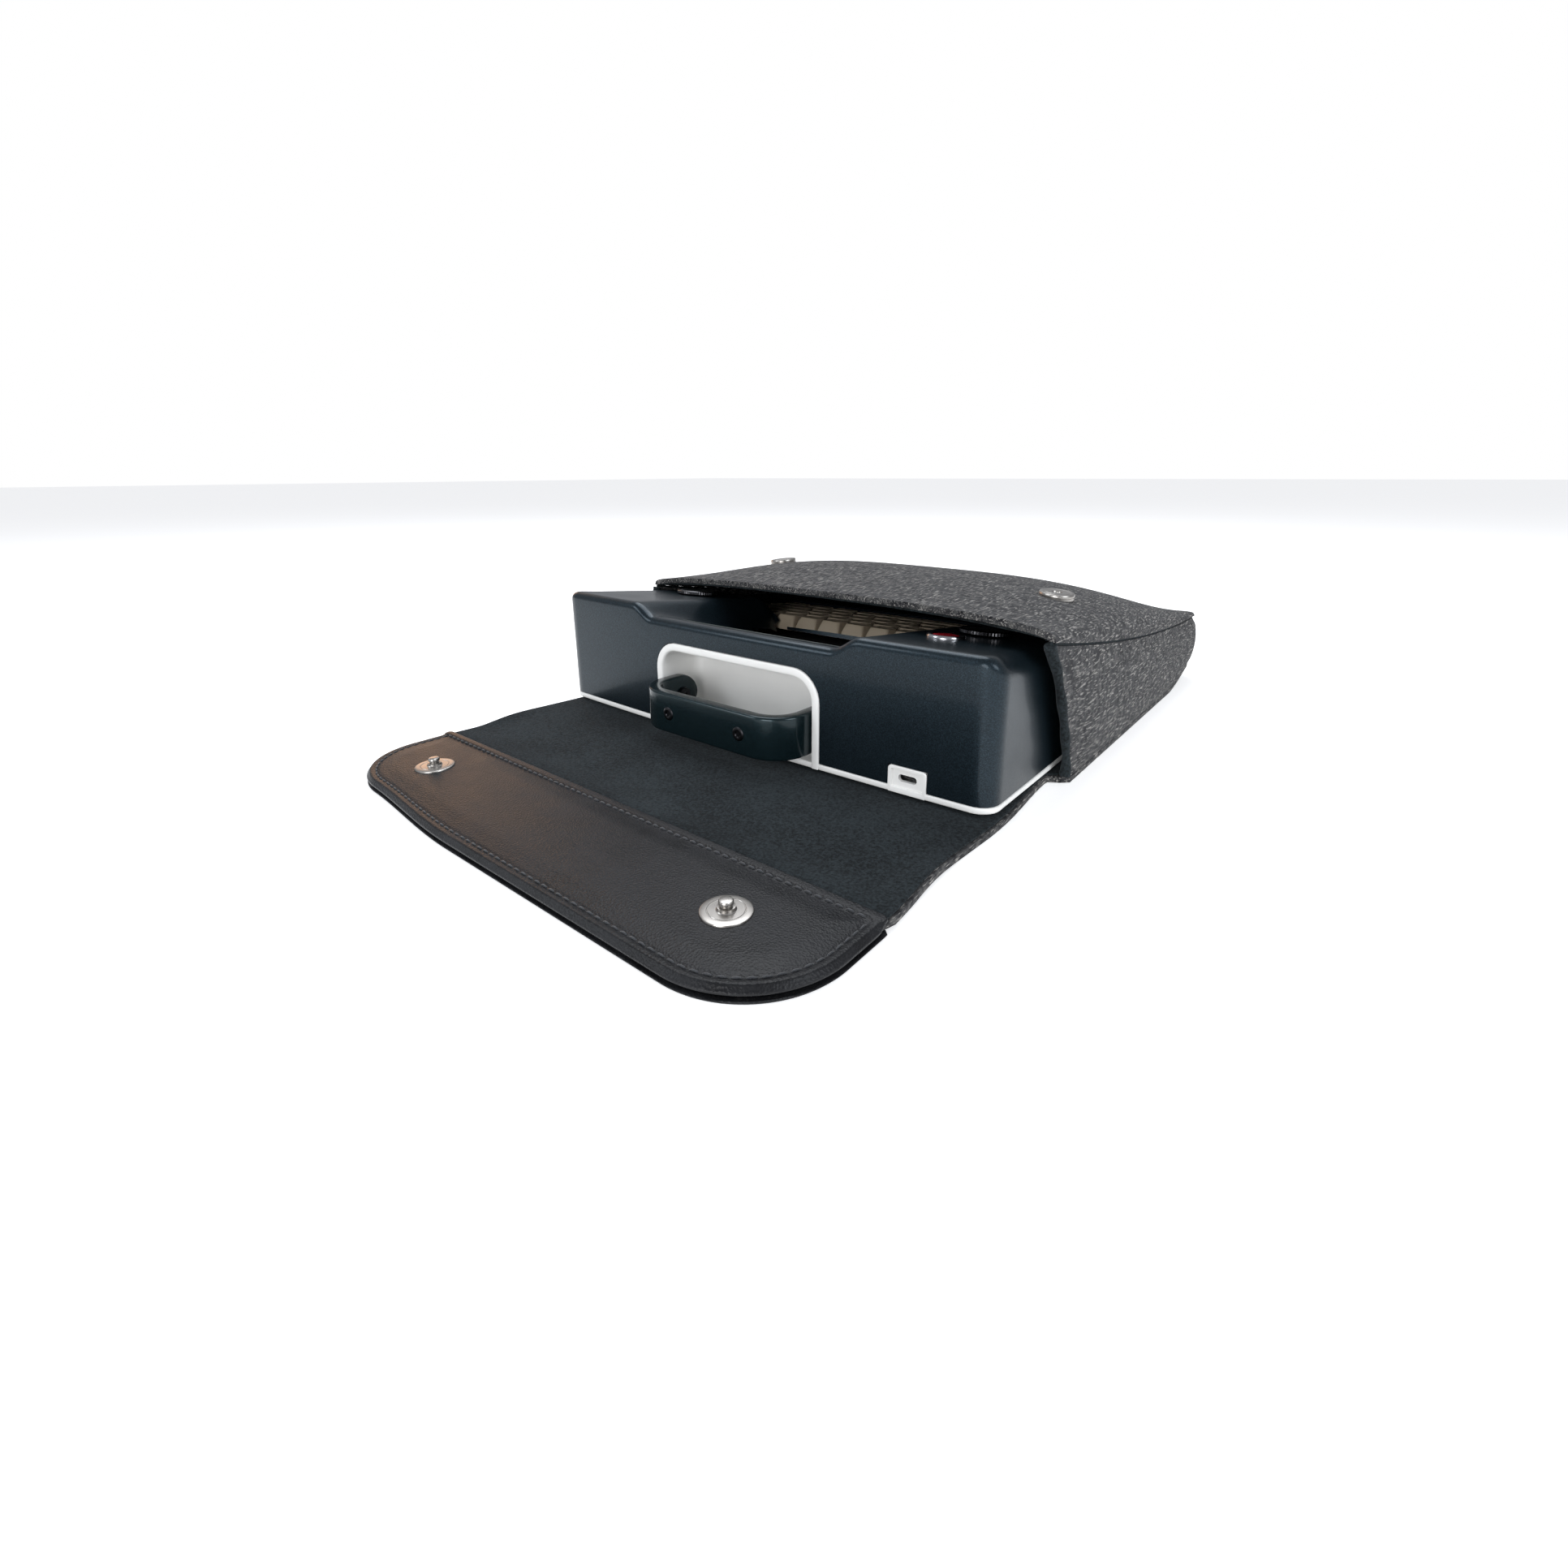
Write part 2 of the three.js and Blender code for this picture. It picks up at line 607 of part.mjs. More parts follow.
// depth of a side wall's mouth edge, which leans from the bottom panel's edge to the upper lip
function mouthDepth(sign, rise) {
  return mix(mouthBottom, mouthMiddle - sign * mouthSkew, rise ** 1.5);
}

function gusset(sign, near, far, footLift) {
  const turnSteps = 14;
  return slab(turnSteps, 4, (u, v, w) => {
    const rise = mix(footLift, 1 - footLift, v);
    return gussetPoint(sign, u, rise, mix(far, near, w), mouthDepth(sign, rise));
  });
}

[['left', -1], ['right', 1]].forEach(([side, sign]) => {
  add(part, `gusset_felt_${side}`, gusset(sign, 0, feltThickness, 0), felt);
  add(part, `gusset_lining_${side}`, gusset(sign, feltThickness + gap, wall, 0.03), lining);
});

// the closed end between the two corners
function backWall(near, far, footLift) {
  const depth = sleeveBack - wallBottom;
  const top = seamZ(sleeveBack) - feltThickness - gap;
  const bottom = feltThickness + gap;
  const span = backSpan / 2 - gap;
  return block(
    -span,
    span,
    depthToY(depth - far),
    depthToY(depth - near),
    mix(bottom, top, footLift),
    mix(bottom, top, 1 - footLift),
  );
}

add(part, 'back_felt', backWall(0, feltThickness, 0), felt);
add(part, 'back_lining', backWall(feltThickness + gap, wall, 0.03), lining);

// height of the top panel's outer face
function topZ(x, depth) {
  const mouth = lipDepth(x);
  const along = THREE.MathUtils.clamp((depth - mouth) / (sleeveBack - mouth), 0, 1);
  const lip = crownMouth * (1 - along) * (1 + crownTilt * (x / sleeveHalf));
  const across = Math.max(0, 1 - Math.abs(x / sleeveHalf) ** 2.4) ** 0.45;
  return seamZ(depth) + (lip + crownMiddle * Math.sin(Math.PI * along)) * across;
}

const topLines = [152, 151, 148, 143, 135, 120, 100, 75, 50, 25, 0];
const liningLines = topLines.slice(3);

// the top panel or its lining: a sheet between the mouth's lip and the closed end
function topSheet(lines, near, far, inset) {
  const across = bothSides(lines);
  const nx = across.length - 1;
  return slab(nx, 12, (u, v, w) => {
    const x = across[Math.round(u * nx)];
    const mouth = lipDepth(x) + inset * 0.3;
    const past = Math.max(0, Math.abs(x) - (sleeveHalf - sleeveCorner));
    const corner = sleeveCorner - Math.sqrt(sleeveCorner ** 2 - Math.min(past, sleeveCorner) ** 2);
    const depth = mix(mouth, sleeveBack - inset - corner, v);
    return new THREE.Vector3(x, depthToY(depth), topZ(x, depth) - mix(far, near, w));
  });
}

add(part, 'top_felt', topSheet(topLines, 0, feltThickness, 0), felt);
add(part, 'top_lining', topSheet(liningLines, wall - 0.5, wall + 0.5, wall + gap), lining);

// magnetic snaps: the sockets stand on the top panel
[['left', flapShift - snapHalf], ['right', rightSocketX]].forEach(([side, x]) => {
  const socketDepth = lipDepth(x) + socketInset;
  const step = 8;
  const slopeX = (topZ(x + step, socketDepth) - topZ(x - step, socketDepth)) / (2 * step);
  const slopeY = (topZ(x, socketDepth + step) - topZ(x, socketDepth - step)) / (2 * step);
  const seat = new THREE.Group();
  seat.position.set(x, depthToY(socketDepth), topZ(x, socketDepth) + 0.5);
  seat.rotation.set(Math.atan(slopeY), -Math.atan(slopeX), 0);
  part.add(seat);
  const profile = [
    [0, 0], [snapRadius, 0], [snapRadius, 3], [snapRadius - 0.6, 3.6], [3, 3.6], [2.6, 3.2], [2.6, 1], [0, 1],
  ];
  add(seat, `snap_socket_${side}`, lathe(profile, 28), snapMetal);
});

// the lining turned out over each gusset's mouth edge
[['left', -1], ['right', 1]].forEach(([side, sign]) => {
  const binding = slab(1, 4, (u, v, w) => {
    const rise = v;
    const ahead = mix(bindingWidth + gap, gap, u);
    return gussetPoint(sign, 0, rise, mix(wall, 0.2, w), mouthDepth(sign, rise) - ahead);
  });
  add(part, `mouth_binding_${side}`, binding, lining);
});

// ---- flap ---------------------------------------------------------------------------------------

const flapLift = leatherThickness + gap; // the felt climbs this far onto the lower leather
const flapRise = (depth) => flapLift * (1 - smooth(depth, leatherStart, leatherStart + 18));

// a sheet of the flap between two depths, at heights counted up from the felt's underside
function flapSheet(from, to, halfWidth, low, high) {
  const lines = [from, -70, -74, -79, -84, to].filter((d) => d <= from && d >= to);
  const ny = lines.length - 1;
  return slab(1, ny, (u, v, w) => {
    const depth = lines[ny - Math.round(v * ny)];
    const z = flapRise(depth) + mix(low, high, w);
    return new THREE.Vector3(flapShift + mix(-halfWidth, halfWidth, u), depthToY(depth), z);
  });
}

function leatherOutline(inset, from) {
  const radius = leatherRadius - inset;
  return roundedOutline(
    flapShift - flapHalf + inset,
    flapShift + flapHalf - inset,
    depthToY(leatherEnd) + inset,
    depthToY(from),
    radius,
    0,
  );
}

const flapFelt = common(
  flapSheet(flapFold - gap, leatherEnd + 1, flapHalf - 1, 0, feltThickness),
  prism(leatherOutline(1, flapFold), -1, 20, 8),
);
add(part, 'flap_felt', flapFelt, felt);
const liningLift = feltThickness + gap;
const flapLiningSheet = flapSheet(flapFold - gap, leatherStart + gap, flapHalf - 1.5, liningLift, wall);
add(part, 'flap_lining', flapLiningSheet, lining);
const leatherShape = leatherOutline(0, leatherStart);
const leatherTop = leatherThickness + gap + feltThickness + gap;
const flapTop = leatherTop + leatherThickness;
add(part, 'leather_back', prism(leatherShape, 0, leatherThickness, 8), leather);
add(part, 'leather_front', prism(leatherShape, leatherTop, flapTop, 8), leather);

[['left', -1], ['right', 1]].forEach(([side, sign]) => {
  const profile = [
    [0, 0], [snapRadius, 0], [snapRadius, 0.7], [snapRadius - 0.4, 0.9], [2.3, 0.9], [2.1, 2], [2.1, 2.6],
    [2.6, 3], [2.6, 4.2], [2.2, 4.6], [0, 4.6],
  ];
  const stud = lathe(profile, 28).translate(flapShift + sign * snapHalf, depthToY(studDepth), flapTop + gap);
  add(part, `snap_stud_${side}`, stud, snapMetal);
});

export default part;
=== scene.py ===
import json

import bmesh
import bpy
import numpy as np
from mathutils import Matrix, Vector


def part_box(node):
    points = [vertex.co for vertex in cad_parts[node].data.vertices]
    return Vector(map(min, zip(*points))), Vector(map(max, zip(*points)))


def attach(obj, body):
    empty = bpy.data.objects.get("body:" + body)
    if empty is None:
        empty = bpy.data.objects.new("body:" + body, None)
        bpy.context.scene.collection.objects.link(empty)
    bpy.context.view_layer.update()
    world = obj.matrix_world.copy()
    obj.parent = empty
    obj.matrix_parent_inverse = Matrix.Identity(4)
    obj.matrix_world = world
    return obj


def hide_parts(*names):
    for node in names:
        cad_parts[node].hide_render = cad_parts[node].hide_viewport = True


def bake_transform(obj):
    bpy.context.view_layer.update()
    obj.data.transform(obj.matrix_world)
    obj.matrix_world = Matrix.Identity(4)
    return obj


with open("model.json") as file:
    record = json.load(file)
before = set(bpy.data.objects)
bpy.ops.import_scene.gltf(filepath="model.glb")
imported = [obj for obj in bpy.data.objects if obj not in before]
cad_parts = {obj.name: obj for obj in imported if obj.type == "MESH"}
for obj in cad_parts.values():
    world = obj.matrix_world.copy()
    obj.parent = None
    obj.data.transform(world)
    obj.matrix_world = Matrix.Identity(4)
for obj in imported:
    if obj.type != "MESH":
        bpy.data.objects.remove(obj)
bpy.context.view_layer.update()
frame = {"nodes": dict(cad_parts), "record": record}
scene = bpy.context.scene

# Shapes are worked out in millimetres in the CAD model's frame, and brought to metres as meshes are made.
mm = 0.001


def nodeBox(name):
    low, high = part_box(name)
    return np.array(low) / mm, np.array(high) / mm


# ---- camera, floor and lights

camera = {"place": (0.25476, -0.3592, 0.14532), "azimuth": 39.56, "elevation": 16.49, "roll": -0.29,
          "lens": 16.895, "sensor": 36, "shiftY": -0.060}


def makeCamera():
    turn, tilt, roll = np.radians([camera["azimuth"], camera["elevation"], camera["roll"]])
    ahead = np.array([-np.sin(turn) * np.cos(tilt), np.cos(turn) * np.cos(tilt), -np.sin(tilt)])
    right = np.cross(ahead, [0, 0, 1])
    right /= np.linalg.norm(right)
    down = np.cross(ahead, right)
    rolledRight = np.cos(roll) * right - np.sin(roll) * down
    rolledDown = np.sin(roll) * right + np.cos(roll) * down
    data = bpy.data.cameras.new("camera")
    data.sensor_width, data.lens, data.shift_y = camera["sensor"], camera["lens"], camera["shiftY"]
    data.clip_start = 0.01
    viewer = bpy.data.objects.new("camera", data)
    axes = Matrix([rolledRight, -rolledDown, -ahead]).transposed()
    viewer.matrix_world = Matrix.Translation(camera["place"]) @ axes.to_4x4()
    scene.collection.objects.link(viewer)
    scene.camera = viewer


makeCamera()

studio = {"world": (0.93, 0.95, 1.0), "worldStrength": 0.42, "floorHalf": 14.0, "floorGlow": 0.5,
          "exposure": 0.0, "aim": (0, -0.02, 0.03)}
lamps = [  # place, size, watts and colour of each soft light, all turned to the object
    {"name": "overhead", "place": (-0.5, 0.5, 1.5), "size": 1.3, "watts": 17, "colour": (0.93, 0.96, 1.0)},
    {"name": "front_left", "place": (-0.9, -1.2, 0.9), "size": 0.7, "watts": 6, "colour": (0.9, 0.95, 1.0)},
    {"name": "right_side", "place": (1.5, -0.2, 0.8), "size": 0.8, "watts": 9, "colour": (0.9, 0.95, 1.0)},
    {"name": "low_front", "place": (0.4, -1.5, 0.3), "size": 0.8, "watts": 10, "colour": (0.97, 0.98, 1.0)},
    {"name": "warm_left", "place": (-1.4, 0.35, 0.35), "size": 0.5, "watts": 1.3, "colour": (1, 0.55, 0.28)},
]


def makeStudio():
    world = bpy.data.worlds.new("studio")
    scene.world = world
    world.use_nodes = True
    nodes, links = world.node_tree.nodes, world.node_tree.links
    dim, plain = nodes["Background"], nodes.new("ShaderNodeBackground")
    dim.inputs["Color"].default_value = (*studio["world"], 1)
    dim.inputs["Strength"].default_value = studio["worldStrength"]
    plain.inputs["Color"].default_value = (1, 1, 1, 1)
    seen, either = nodes.new("ShaderNodeLightPath"), nodes.new("ShaderNodeMixShader")
    links.new(seen.outputs["Is Camera Ray"], either.inputs["Fac"])
    links.new(dim.outputs["Background"], either.inputs[1])
    links.new(plain.outputs["Background"], either.inputs[2])
    links.new(either.outputs["Shader"], nodes["World Output"].inputs["Surface"])
    for lamp in lamps:
        data = bpy.data.lights.new(lamp["name"], "AREA")
        data.shape, data.size = "DISK", lamp["size"]
        data.energy, data.color = lamp["watts"], lamp["colour"]
        light = bpy.data.objects.new(lamp["name"], data)
        ahead = np.array(studio["aim"]) - lamp["place"]
        right = np.cross(ahead, [0, 0, 1])
        up = np.cross(right, ahead)
        axes = [axis / np.linalg.norm(axis) for axis in (right, up, -ahead)]
        light.matrix_world = Matrix.Translation(lamp["place"]) @ Matrix(axes).transposed().to_4x4()
        scene.collection.objects.link(light)
    scene.view_settings.view_transform = "Standard"
    scene.view_settings.exposure = studio["exposure"]


makeStudio()
print("camera and lights made")

# ---- shader maths


class Value:
    # a socket that arithmetic can be written with; each operator adds its own Math node
    def __init__(self, paint, socket):
        self.paint, self.socket = paint, socket

    def maths(self, operation, first, second):
        return self.paint.node("ShaderNodeMath", {"operation": operation}, {0: first, 1: second})

    def __add__(self, other):
        return self.maths("ADD", self, other)

    def __mul__(self, other):
        return self.maths("MULTIPLY", self, other)

    __radd__, __rmul__ = __add__, __mul__


class Paint:
    # a material: numbers that are the same all over are set on the shader's own sockets
    def __init__(self, name, **fixed):
        self.material = bpy.data.materials.new(name)
        self.material.use_nodes = True
        self.tree = self.material.node_tree
        self.shader = self.tree.nodes["Principled BSDF"]
        for socket, value in fixed.items():
            name = socket.replace("_", " ")
            self.shader.inputs[name].default_value = (*value, 1) if isinstance(value, tuple) else value

    def node(self, kind, settings, sockets, output=0):
        made = self.tree.nodes.new(kind)
        for setting, value in settings.items():
            if setting == "stops":
                ramp = made.color_ramp
                for place, colour in value[1:-1]:
                    ramp.elements.new(place)
                for element, (place, colour) in zip(ramp.elements, value):
                    element.position, element.color = place, (*colour, 1)
            else:
                setattr(made, setting, value)
        for socket, value in sockets.items():
            if isinstance(value, Value):
                self.tree.links.new(value.socket, made.inputs[socket])
            else:
                made.inputs[socket].default_value = value
        return Value(self, made.outputs[output])

    def place(self, turn=(0, 0, 0), stretch=(1, 1, 1)):
        spot = self.node("ShaderNodeTexCoord", {}, {}, "Object")
        return self.node("ShaderNodeMapping", {}, {"Vector": spot, "Rotation": turn, "Scale": stretch})

    def noise(self, scale, detail=2.0, spot=None, roughness=0.5):
        sockets = {"Vector": spot or self.place(), "Scale": scale, "Detail": detail, "Roughness": roughness}
        return self.node("ShaderNodeTexNoise", {}, sockets)

    def cells(self, scale, output="Distance"):
        return self.node("ShaderNodeTexVoronoi", {}, {"Vector": self.place(), "Scale": scale}, output)

    def spread(self, value, low, high, toLow=0.0, toHigh=1.0):
        sockets = {"Value": value, "From Min": low, "From Max": high, "To Min": toLow, "To Max": toHigh}
        return self.node("ShaderNodeMapRange", {"clamp": True}, sockets)

    def ramp(self, value, stops):
        return self.node("ShaderNodeValToRGB", {"stops": stops}, {"Fac": value})

    def mix(self, factor, first, second):
        colours = [c if isinstance(c, Value) else (*c, 1) for c in (first, second)]
        sockets = {0: factor, 6: colours[0], 7: colours[1]}
        return self.node("ShaderNodeMix", {"data_type": "RGBA"}, sockets, 2)

    def bump(self, height, depth, strength=1.0):
        sockets = {"Height": height, "Distance": depth, "Strength": strength}
        return self.node("ShaderNodeBump", {}, sockets)

    def feed(self, **sockets):
        for socket, value in sockets.items():
            self.tree.links.new(value.socket, self.shader.inputs[socket.replace("_", " ")])
        return self.material


def feltPaint():
    # charcoal wool: pale short fibres lying mostly one way over dark and mid-grey tufts
    look = {"dark": (0.008, 0.008, 0.010), "middle": (0.036, 0.036, 0.038), "light": (0.085, 0.083, 0.08),
            "pale": (0.34, 0.325, 0.305)}
    paint = Paint("charcoal_felt", Roughness=0.95, Sheen_Weight=0.08, Sheen_Roughness=0.6,
                  Specular_IOR_Level=0.15)
    tuft = paint.noise(260, 3.0)
    along = paint.noise(1200, 2.0, paint.place((0.2, 0.2, 0.9), (1, 0.16, 1)))
    across = paint.noise(1100, 2.0, paint.place((0.3, 0.1, 0.3), (1, 0.18, 1)))
    hair = paint.spread(along, 0.55, 0.66) + paint.spread(across, 0.62, 0.72) * 0.5
    ground = paint.ramp(tuft, [(0.36, look["dark"]), (0.52, look["middle"]), (0.7, look["light"])])
    patch = paint.spread(paint.noise(45, 2.0), 0.3, 0.7, 0.55, 1.0)
    colour = paint.mix(paint.spread(hair * patch, 0.0, 1.0), ground, look["pale"])
    relief = tuft * 0.6 + hair * 0.35
    return paint.feed(Base_Color=colour, Normal=paint.bump(relief, 0.0009, 0.8))


def liningPaint():
    # short-napped microfibre, near black with a blue cast and a few pale specks of lint
    paint = Paint("black_lining", Roughness=0.9, Sheen_Weight=0.06, Sheen_Roughness=0.45,
                  Sheen_Tint=(0.85, 0.93, 1.0), Specular_IOR_Level=0.12)
    nap = paint.noise(800, 4.0, roughness=0.7)
    cloud = paint.noise(22, 3.0)
    lint = paint.spread(paint.cells(420), 0.05, 0.09, 1.0, 0.0)
    rare = paint.spread(paint.noise(130, 1.0), 0.6, 0.64)
    look = {"dark": (0.0035, 0.0045, 0.005), "light": (0.024, 0.031, 0.0345), "lint": (0.10, 0.11, 0.12)}
    ground = paint.ramp(nap * 0.75 + cloud * 0.25, [(0.40, look["dark"]), (0.60, look["light"])])
    colour = paint.mix(lint * rare * 0.5, ground, look["lint"])
    return paint.feed(Base_Color=colour, Normal=paint.bump(nap, 0.0004, 0.6))


def leatherPaint():
    # fine pebbled grain with a soft, uneven shine
    paint = Paint("black_leather", Specular_IOR_Level=0.24)
    grain = paint.cells(1150)
    fine = paint.noise(2600, 2.0)
    crease = paint.noise(60, 4.0)
    colour = paint.ramp(crease, [(0.3, (0.004, 0.0042, 0.005)), (0.7, (0.011, 0.0115, 0.0135))])
    shine = paint.spread(crease * 0.7 + fine * 0.3, 0.3, 0.7, 0.32, 0.46)
    relief = grain * 0.5 + fine * 0.25 + crease * 0.7
    return paint.feed(Base_Color=colour, Roughness=shine, Normal=paint.bump(relief, 0.00045, 0.55))


def metallicPaint(name, colour, roughness, coat):
    # a pigment with fine flake in it under a thin lacquer
    paint = Paint(name, Metallic=0.6, Coat_Weight=coat, Coat_Roughness=0.1, Specular_IOR_Level=0.22)
    flake = paint.cells(3200, "Color")
    glint = paint.spread(paint.node("ShaderNodeSeparateColor", {}, {"Color": flake}), 0.3, 1.0)
    cloud = paint.noise(30, 3.0)
    darker = tuple(0.72 * c for c in colour)
    brighter = tuple(1.5 * c for c in colour)
    ground = paint.mix(glint, darker, brighter)
    rough = paint.spread(cloud, 0.3, 0.7, roughness - 0.03, roughness + 0.04)
    peel = paint.bump(paint.noise(420, 2.0) + glint * 0.3, 0.00005, 0.5)
    return paint.feed(Base_Color=ground, Roughness=rough, Normal=peel)


def mouldedPaint(name, colour, roughness, texture=0.00006, **more):
    # moulded plastic: a fine spark-eroded texture and a faint cloud in its colour
    paint = Paint(name, **more)
    cloud = paint.noise(40, 3.0)
    grain = paint.noise(2400, 2.0)
    ground = paint.mix(cloud, tuple(0.93 * c for c in colour), tuple(min(1.0, 1.05 * c) for c in colour))
    rough = paint.spread(grain * 0.5 + cloud * 0.5, 0.3, 0.7, roughness - 0.05, roughness + 0.06)
    return paint.feed(Base_Color=ground, Roughness=rough, Normal=paint.bump(grain, texture, 0.5))


def metalPaint(name, colour, roughness, stretch=(1, 1, 0.06), depth=0.00003):
    # bare or plated metal with fine tool marks
    paint = Paint(name, Metallic=1.0)
    marks = paint.noise(2600, 3.0, paint.place((0, 0, 0), stretch))
    stain = paint.noise(160, 3.0)
    ground = paint.mix(stain, tuple(0.86 * c for c in colour), colour)
    rough = paint.spread(marks * 0.5 + stain * 0.5, 0.3, 0.7, max(0.03, roughness - 0.06), roughness + 0.08)
    return paint.feed(Base_Color=ground, Roughness=rough, Normal=paint.bump(marks, depth, 0.4))


def threadPaint():
    # waxed black thread, twisted
    paint = Paint("black_thread", Sheen_Weight=0.3)
    twist = paint.noise(4200, 1.0)
    colour = paint.ramp(twist, [(0.3, (0.006, 0.007, 0.009)), (0.7, (0.03, 0.034, 0.042))])
    rough = paint.spread(twist, 0.3, 0.7, 0.45, 0.65)
    return paint.feed(Base_Color=colour, Roughness=rough, Normal=paint.bump(twist, 0.0001, 0.7))


paints = {
    "grey_felt": feltPaint(),
    "black_lining": liningPaint(),
    "black_leather": leatherPaint(),
    "thread": threadPaint(),
    "snap_nickel": metalPaint("snap_nickel", (0.42, 0.40, 0.375), 0.3, depth=0.000001),
    "case_metal": metallicPaint("case_metal", (0.013, 0.022, 0.029), 0.3, 0.16),
    "handle_metal": metallicPaint("handle_metal", (0.008, 0.020, 0.024), 0.22, 0.4),
    "white_plastic": mouldedPaint("white_plastic", (0.88, 0.875, 0.85), 0.38),
    # the keys' tan is painted warm light: the caps are near white, and the tan stands for the warm light inside
    # the sleeve
    "key_plastic": mouldedPaint("key_plastic", (0.60, 0.50, 0.37), 0.55),
    "dark_plastic": mouldedPaint("dark_plastic", (0.018, 0.020, 0.022), 0.5),
    "black_screws": metalPaint("black_screws", (0.03, 0.03, 0.033), 0.32),
    "chrome_trim": metalPaint("chrome_trim", (0.45, 0.45, 0.47), 0.2, depth=0.000001),
    # a darkened copy of the chrome, used on the dial rims: painted shade for the shade they sit in under the
    # felt
    "shaded_chrome": metalPaint("shaded_chrome", (0.08, 0.08, 0.085), 0.25, depth=0.000001),
    "red_button": mouldedPaint("red_button", (0.46, 0.012, 0.022), 0.22, 0.00002, Coat_Weight=0.4),
    "black_rubber": mouldedPaint("black_rubber", (0.02, 0.02, 0.02), 0.8, 0.0001),
    "screen_glass": mouldedPaint("screen_glass", (0.22, 0.24, 0.225), 0.12, 0.00001, Coat_Weight=1.0),
    "circuit_board": mouldedPaint("circuit_board", (0.015, 0.085, 0.035), 0.4),
    "battery_pack": mouldedPaint("battery_pack", (0.05, 0.06, 0.07), 0.45),
    "socket_steel": metalPaint("socket_steel", (0.5, 0.5, 0.5), 0.3),
}


def dressCadNodes():
    for part in frame["record"]["subparts"]:
        shown = frame["nodes"][part["node"]]
        shown.data.materials.clear()
        shown.data.materials.append(paints[part["material_slot"]])


dressCadNodes()


def makeFloor():
    paint = Paint("floor_card", Roughness=0.85, Emission_Color=(1.0, 1.0, 1.0),
                  Emission_Strength=studio["floorGlow"])
    card = paint.mix(paint.noise(3, 2.0), (0.93, 0.93, 0.93), (0.95, 0.95, 0.95))
    half = studio["floorHalf"]
    mesh = bpy.data.meshes.new("floor")
    corners = [(-half, -half, 0), (half, -half, 0), (half, half, 0), (-half, half, 0)]
    mesh.from_pydata(corners, [], [(0, 1, 2, 3)])
    mesh.materials.append(paint.feed(Base_Color=card))
    floor = bpy.data.objects.new("floor", mesh)
    scene.collection.objects.link(floor)


makeFloor()
print("materials made")

# ---- meshes from grids


def smooth(value, low, high):
    share = np.clip((value - low) / (high - low), 0, 1)
    return share * share * (3 - 2 * share)


def mix(first, second, share):
    return first + (second - first) * share


def roundDrop(inset, radius):
    # how far a rounded edge lies below its flat, at a distance in from the side
    short = np.clip(radius - inset, 0, radius)
    return radius - np.sqrt(radius ** 2 - short ** 2)


def gridFaces(rows, columns, wrapRows=False, wrapColumns=False):
    first, second = np.arange(rows - (not wrapRows)), np.arange(columns - (not wrapColumns))
    i, j = np.meshgrid(first, second, indexing="ij")
    up, on = (i + 1) % rows, (j + 1) % columns
    corners = [i * columns + j, up * columns + j, up * columns + on, i * columns + on]
    return np.stack(corners, -1).reshape(-1, 4)


def makePiece(name, points, faces, slot, closed=True, flat=45, paint=None):
    # a mesh object at the origin, in metres, from points in millimetres
    mesh = bpy.data.meshes.new(name)
    corners = faces.tolist() if isinstance(faces, np.ndarray) else faces
    mesh.from_pydata((np.asarray(points).reshape(-1, 3) * mm).tolist(), [], corners)
    edit = bmesh.new()
    edit.from_mesh(mesh)
    bmesh.ops.remove_doubles(edit, verts=edit.verts, dist=2e-6)
    if closed:
        bmesh.ops.recalc_face_normals(edit, faces=edit.faces)
    edit.to_mesh(mesh)
    edit.free()
    mesh.shade_smooth()
    mesh.set_sharp_from_angle(angle=np.radians(flat))
    mesh.materials.append(paints[paint or slot])
    piece = bpy.data.objects.new(name, mesh)
    scene.collection.objects.link(piece)
    return piece


def addModifier(piece, kind, **settings):
    modifier = piece.modifiers.new(kind.lower(), kind)
    for setting, value in settings.items():
        setattr(modifier, setting, value)
    return modifier


def bakeModifiers(piece, flat=45):
    graph = bpy.context.evaluated_depsgraph_get()
    mesh = bpy.data.meshes.new_from_object(piece.evaluated_get(graph))
    piece.modifiers.clear()
    piece.data = mesh
    mesh.shade_smooth()
    mesh.set_sharp_from_angle(angle=np.radians(flat))


def turned(name, profile, slot, place, count=64, axes=None, ripple=None, paint=None):
    # a profile of radius and height carried round an axis; ripple adds to the radius with the angle
    profile = np.array(profile, float)
    angle = np.linspace(0, 2 * np.pi, count, endpoint=False)[:, None]
    radius = profile[None, :, 0] + (ripple(angle, profile) if ripple else 0)
    height = np.tile(profile[:, 1], (count, 1))
    local = np.stack([radius * np.cos(angle), radius * np.sin(angle), height], -1)
    points = np.array(place) + (local if axes is None else local @ np.array(axes, float))
    faces = gridFaces(count, len(profile), wrapRows=True)
    return makePiece(name, points, faces, slot, flat=35, paint=paint)


def boxDistance(x, y, area):
    # distance in from the edge of a rectangle that has its own radius at each corner
    x0, x1, y0, y1, nearRadius, farRadius = area

    def halfDistance(past, radius):
        right = np.abs(x - (x0 + x1) / 2) - (x1 - x0) / 2 + radius
        corner = np.hypot(np.maximum(right, 0), np.maximum(past, 0))
        return radius - np.minimum(np.maximum(right, past), 0) - corner

    near = halfDistance(y0 + nearRadius - y, nearRadius)
    return np.minimum(near, halfDistance(y - y1 + farRadius, farRadius))


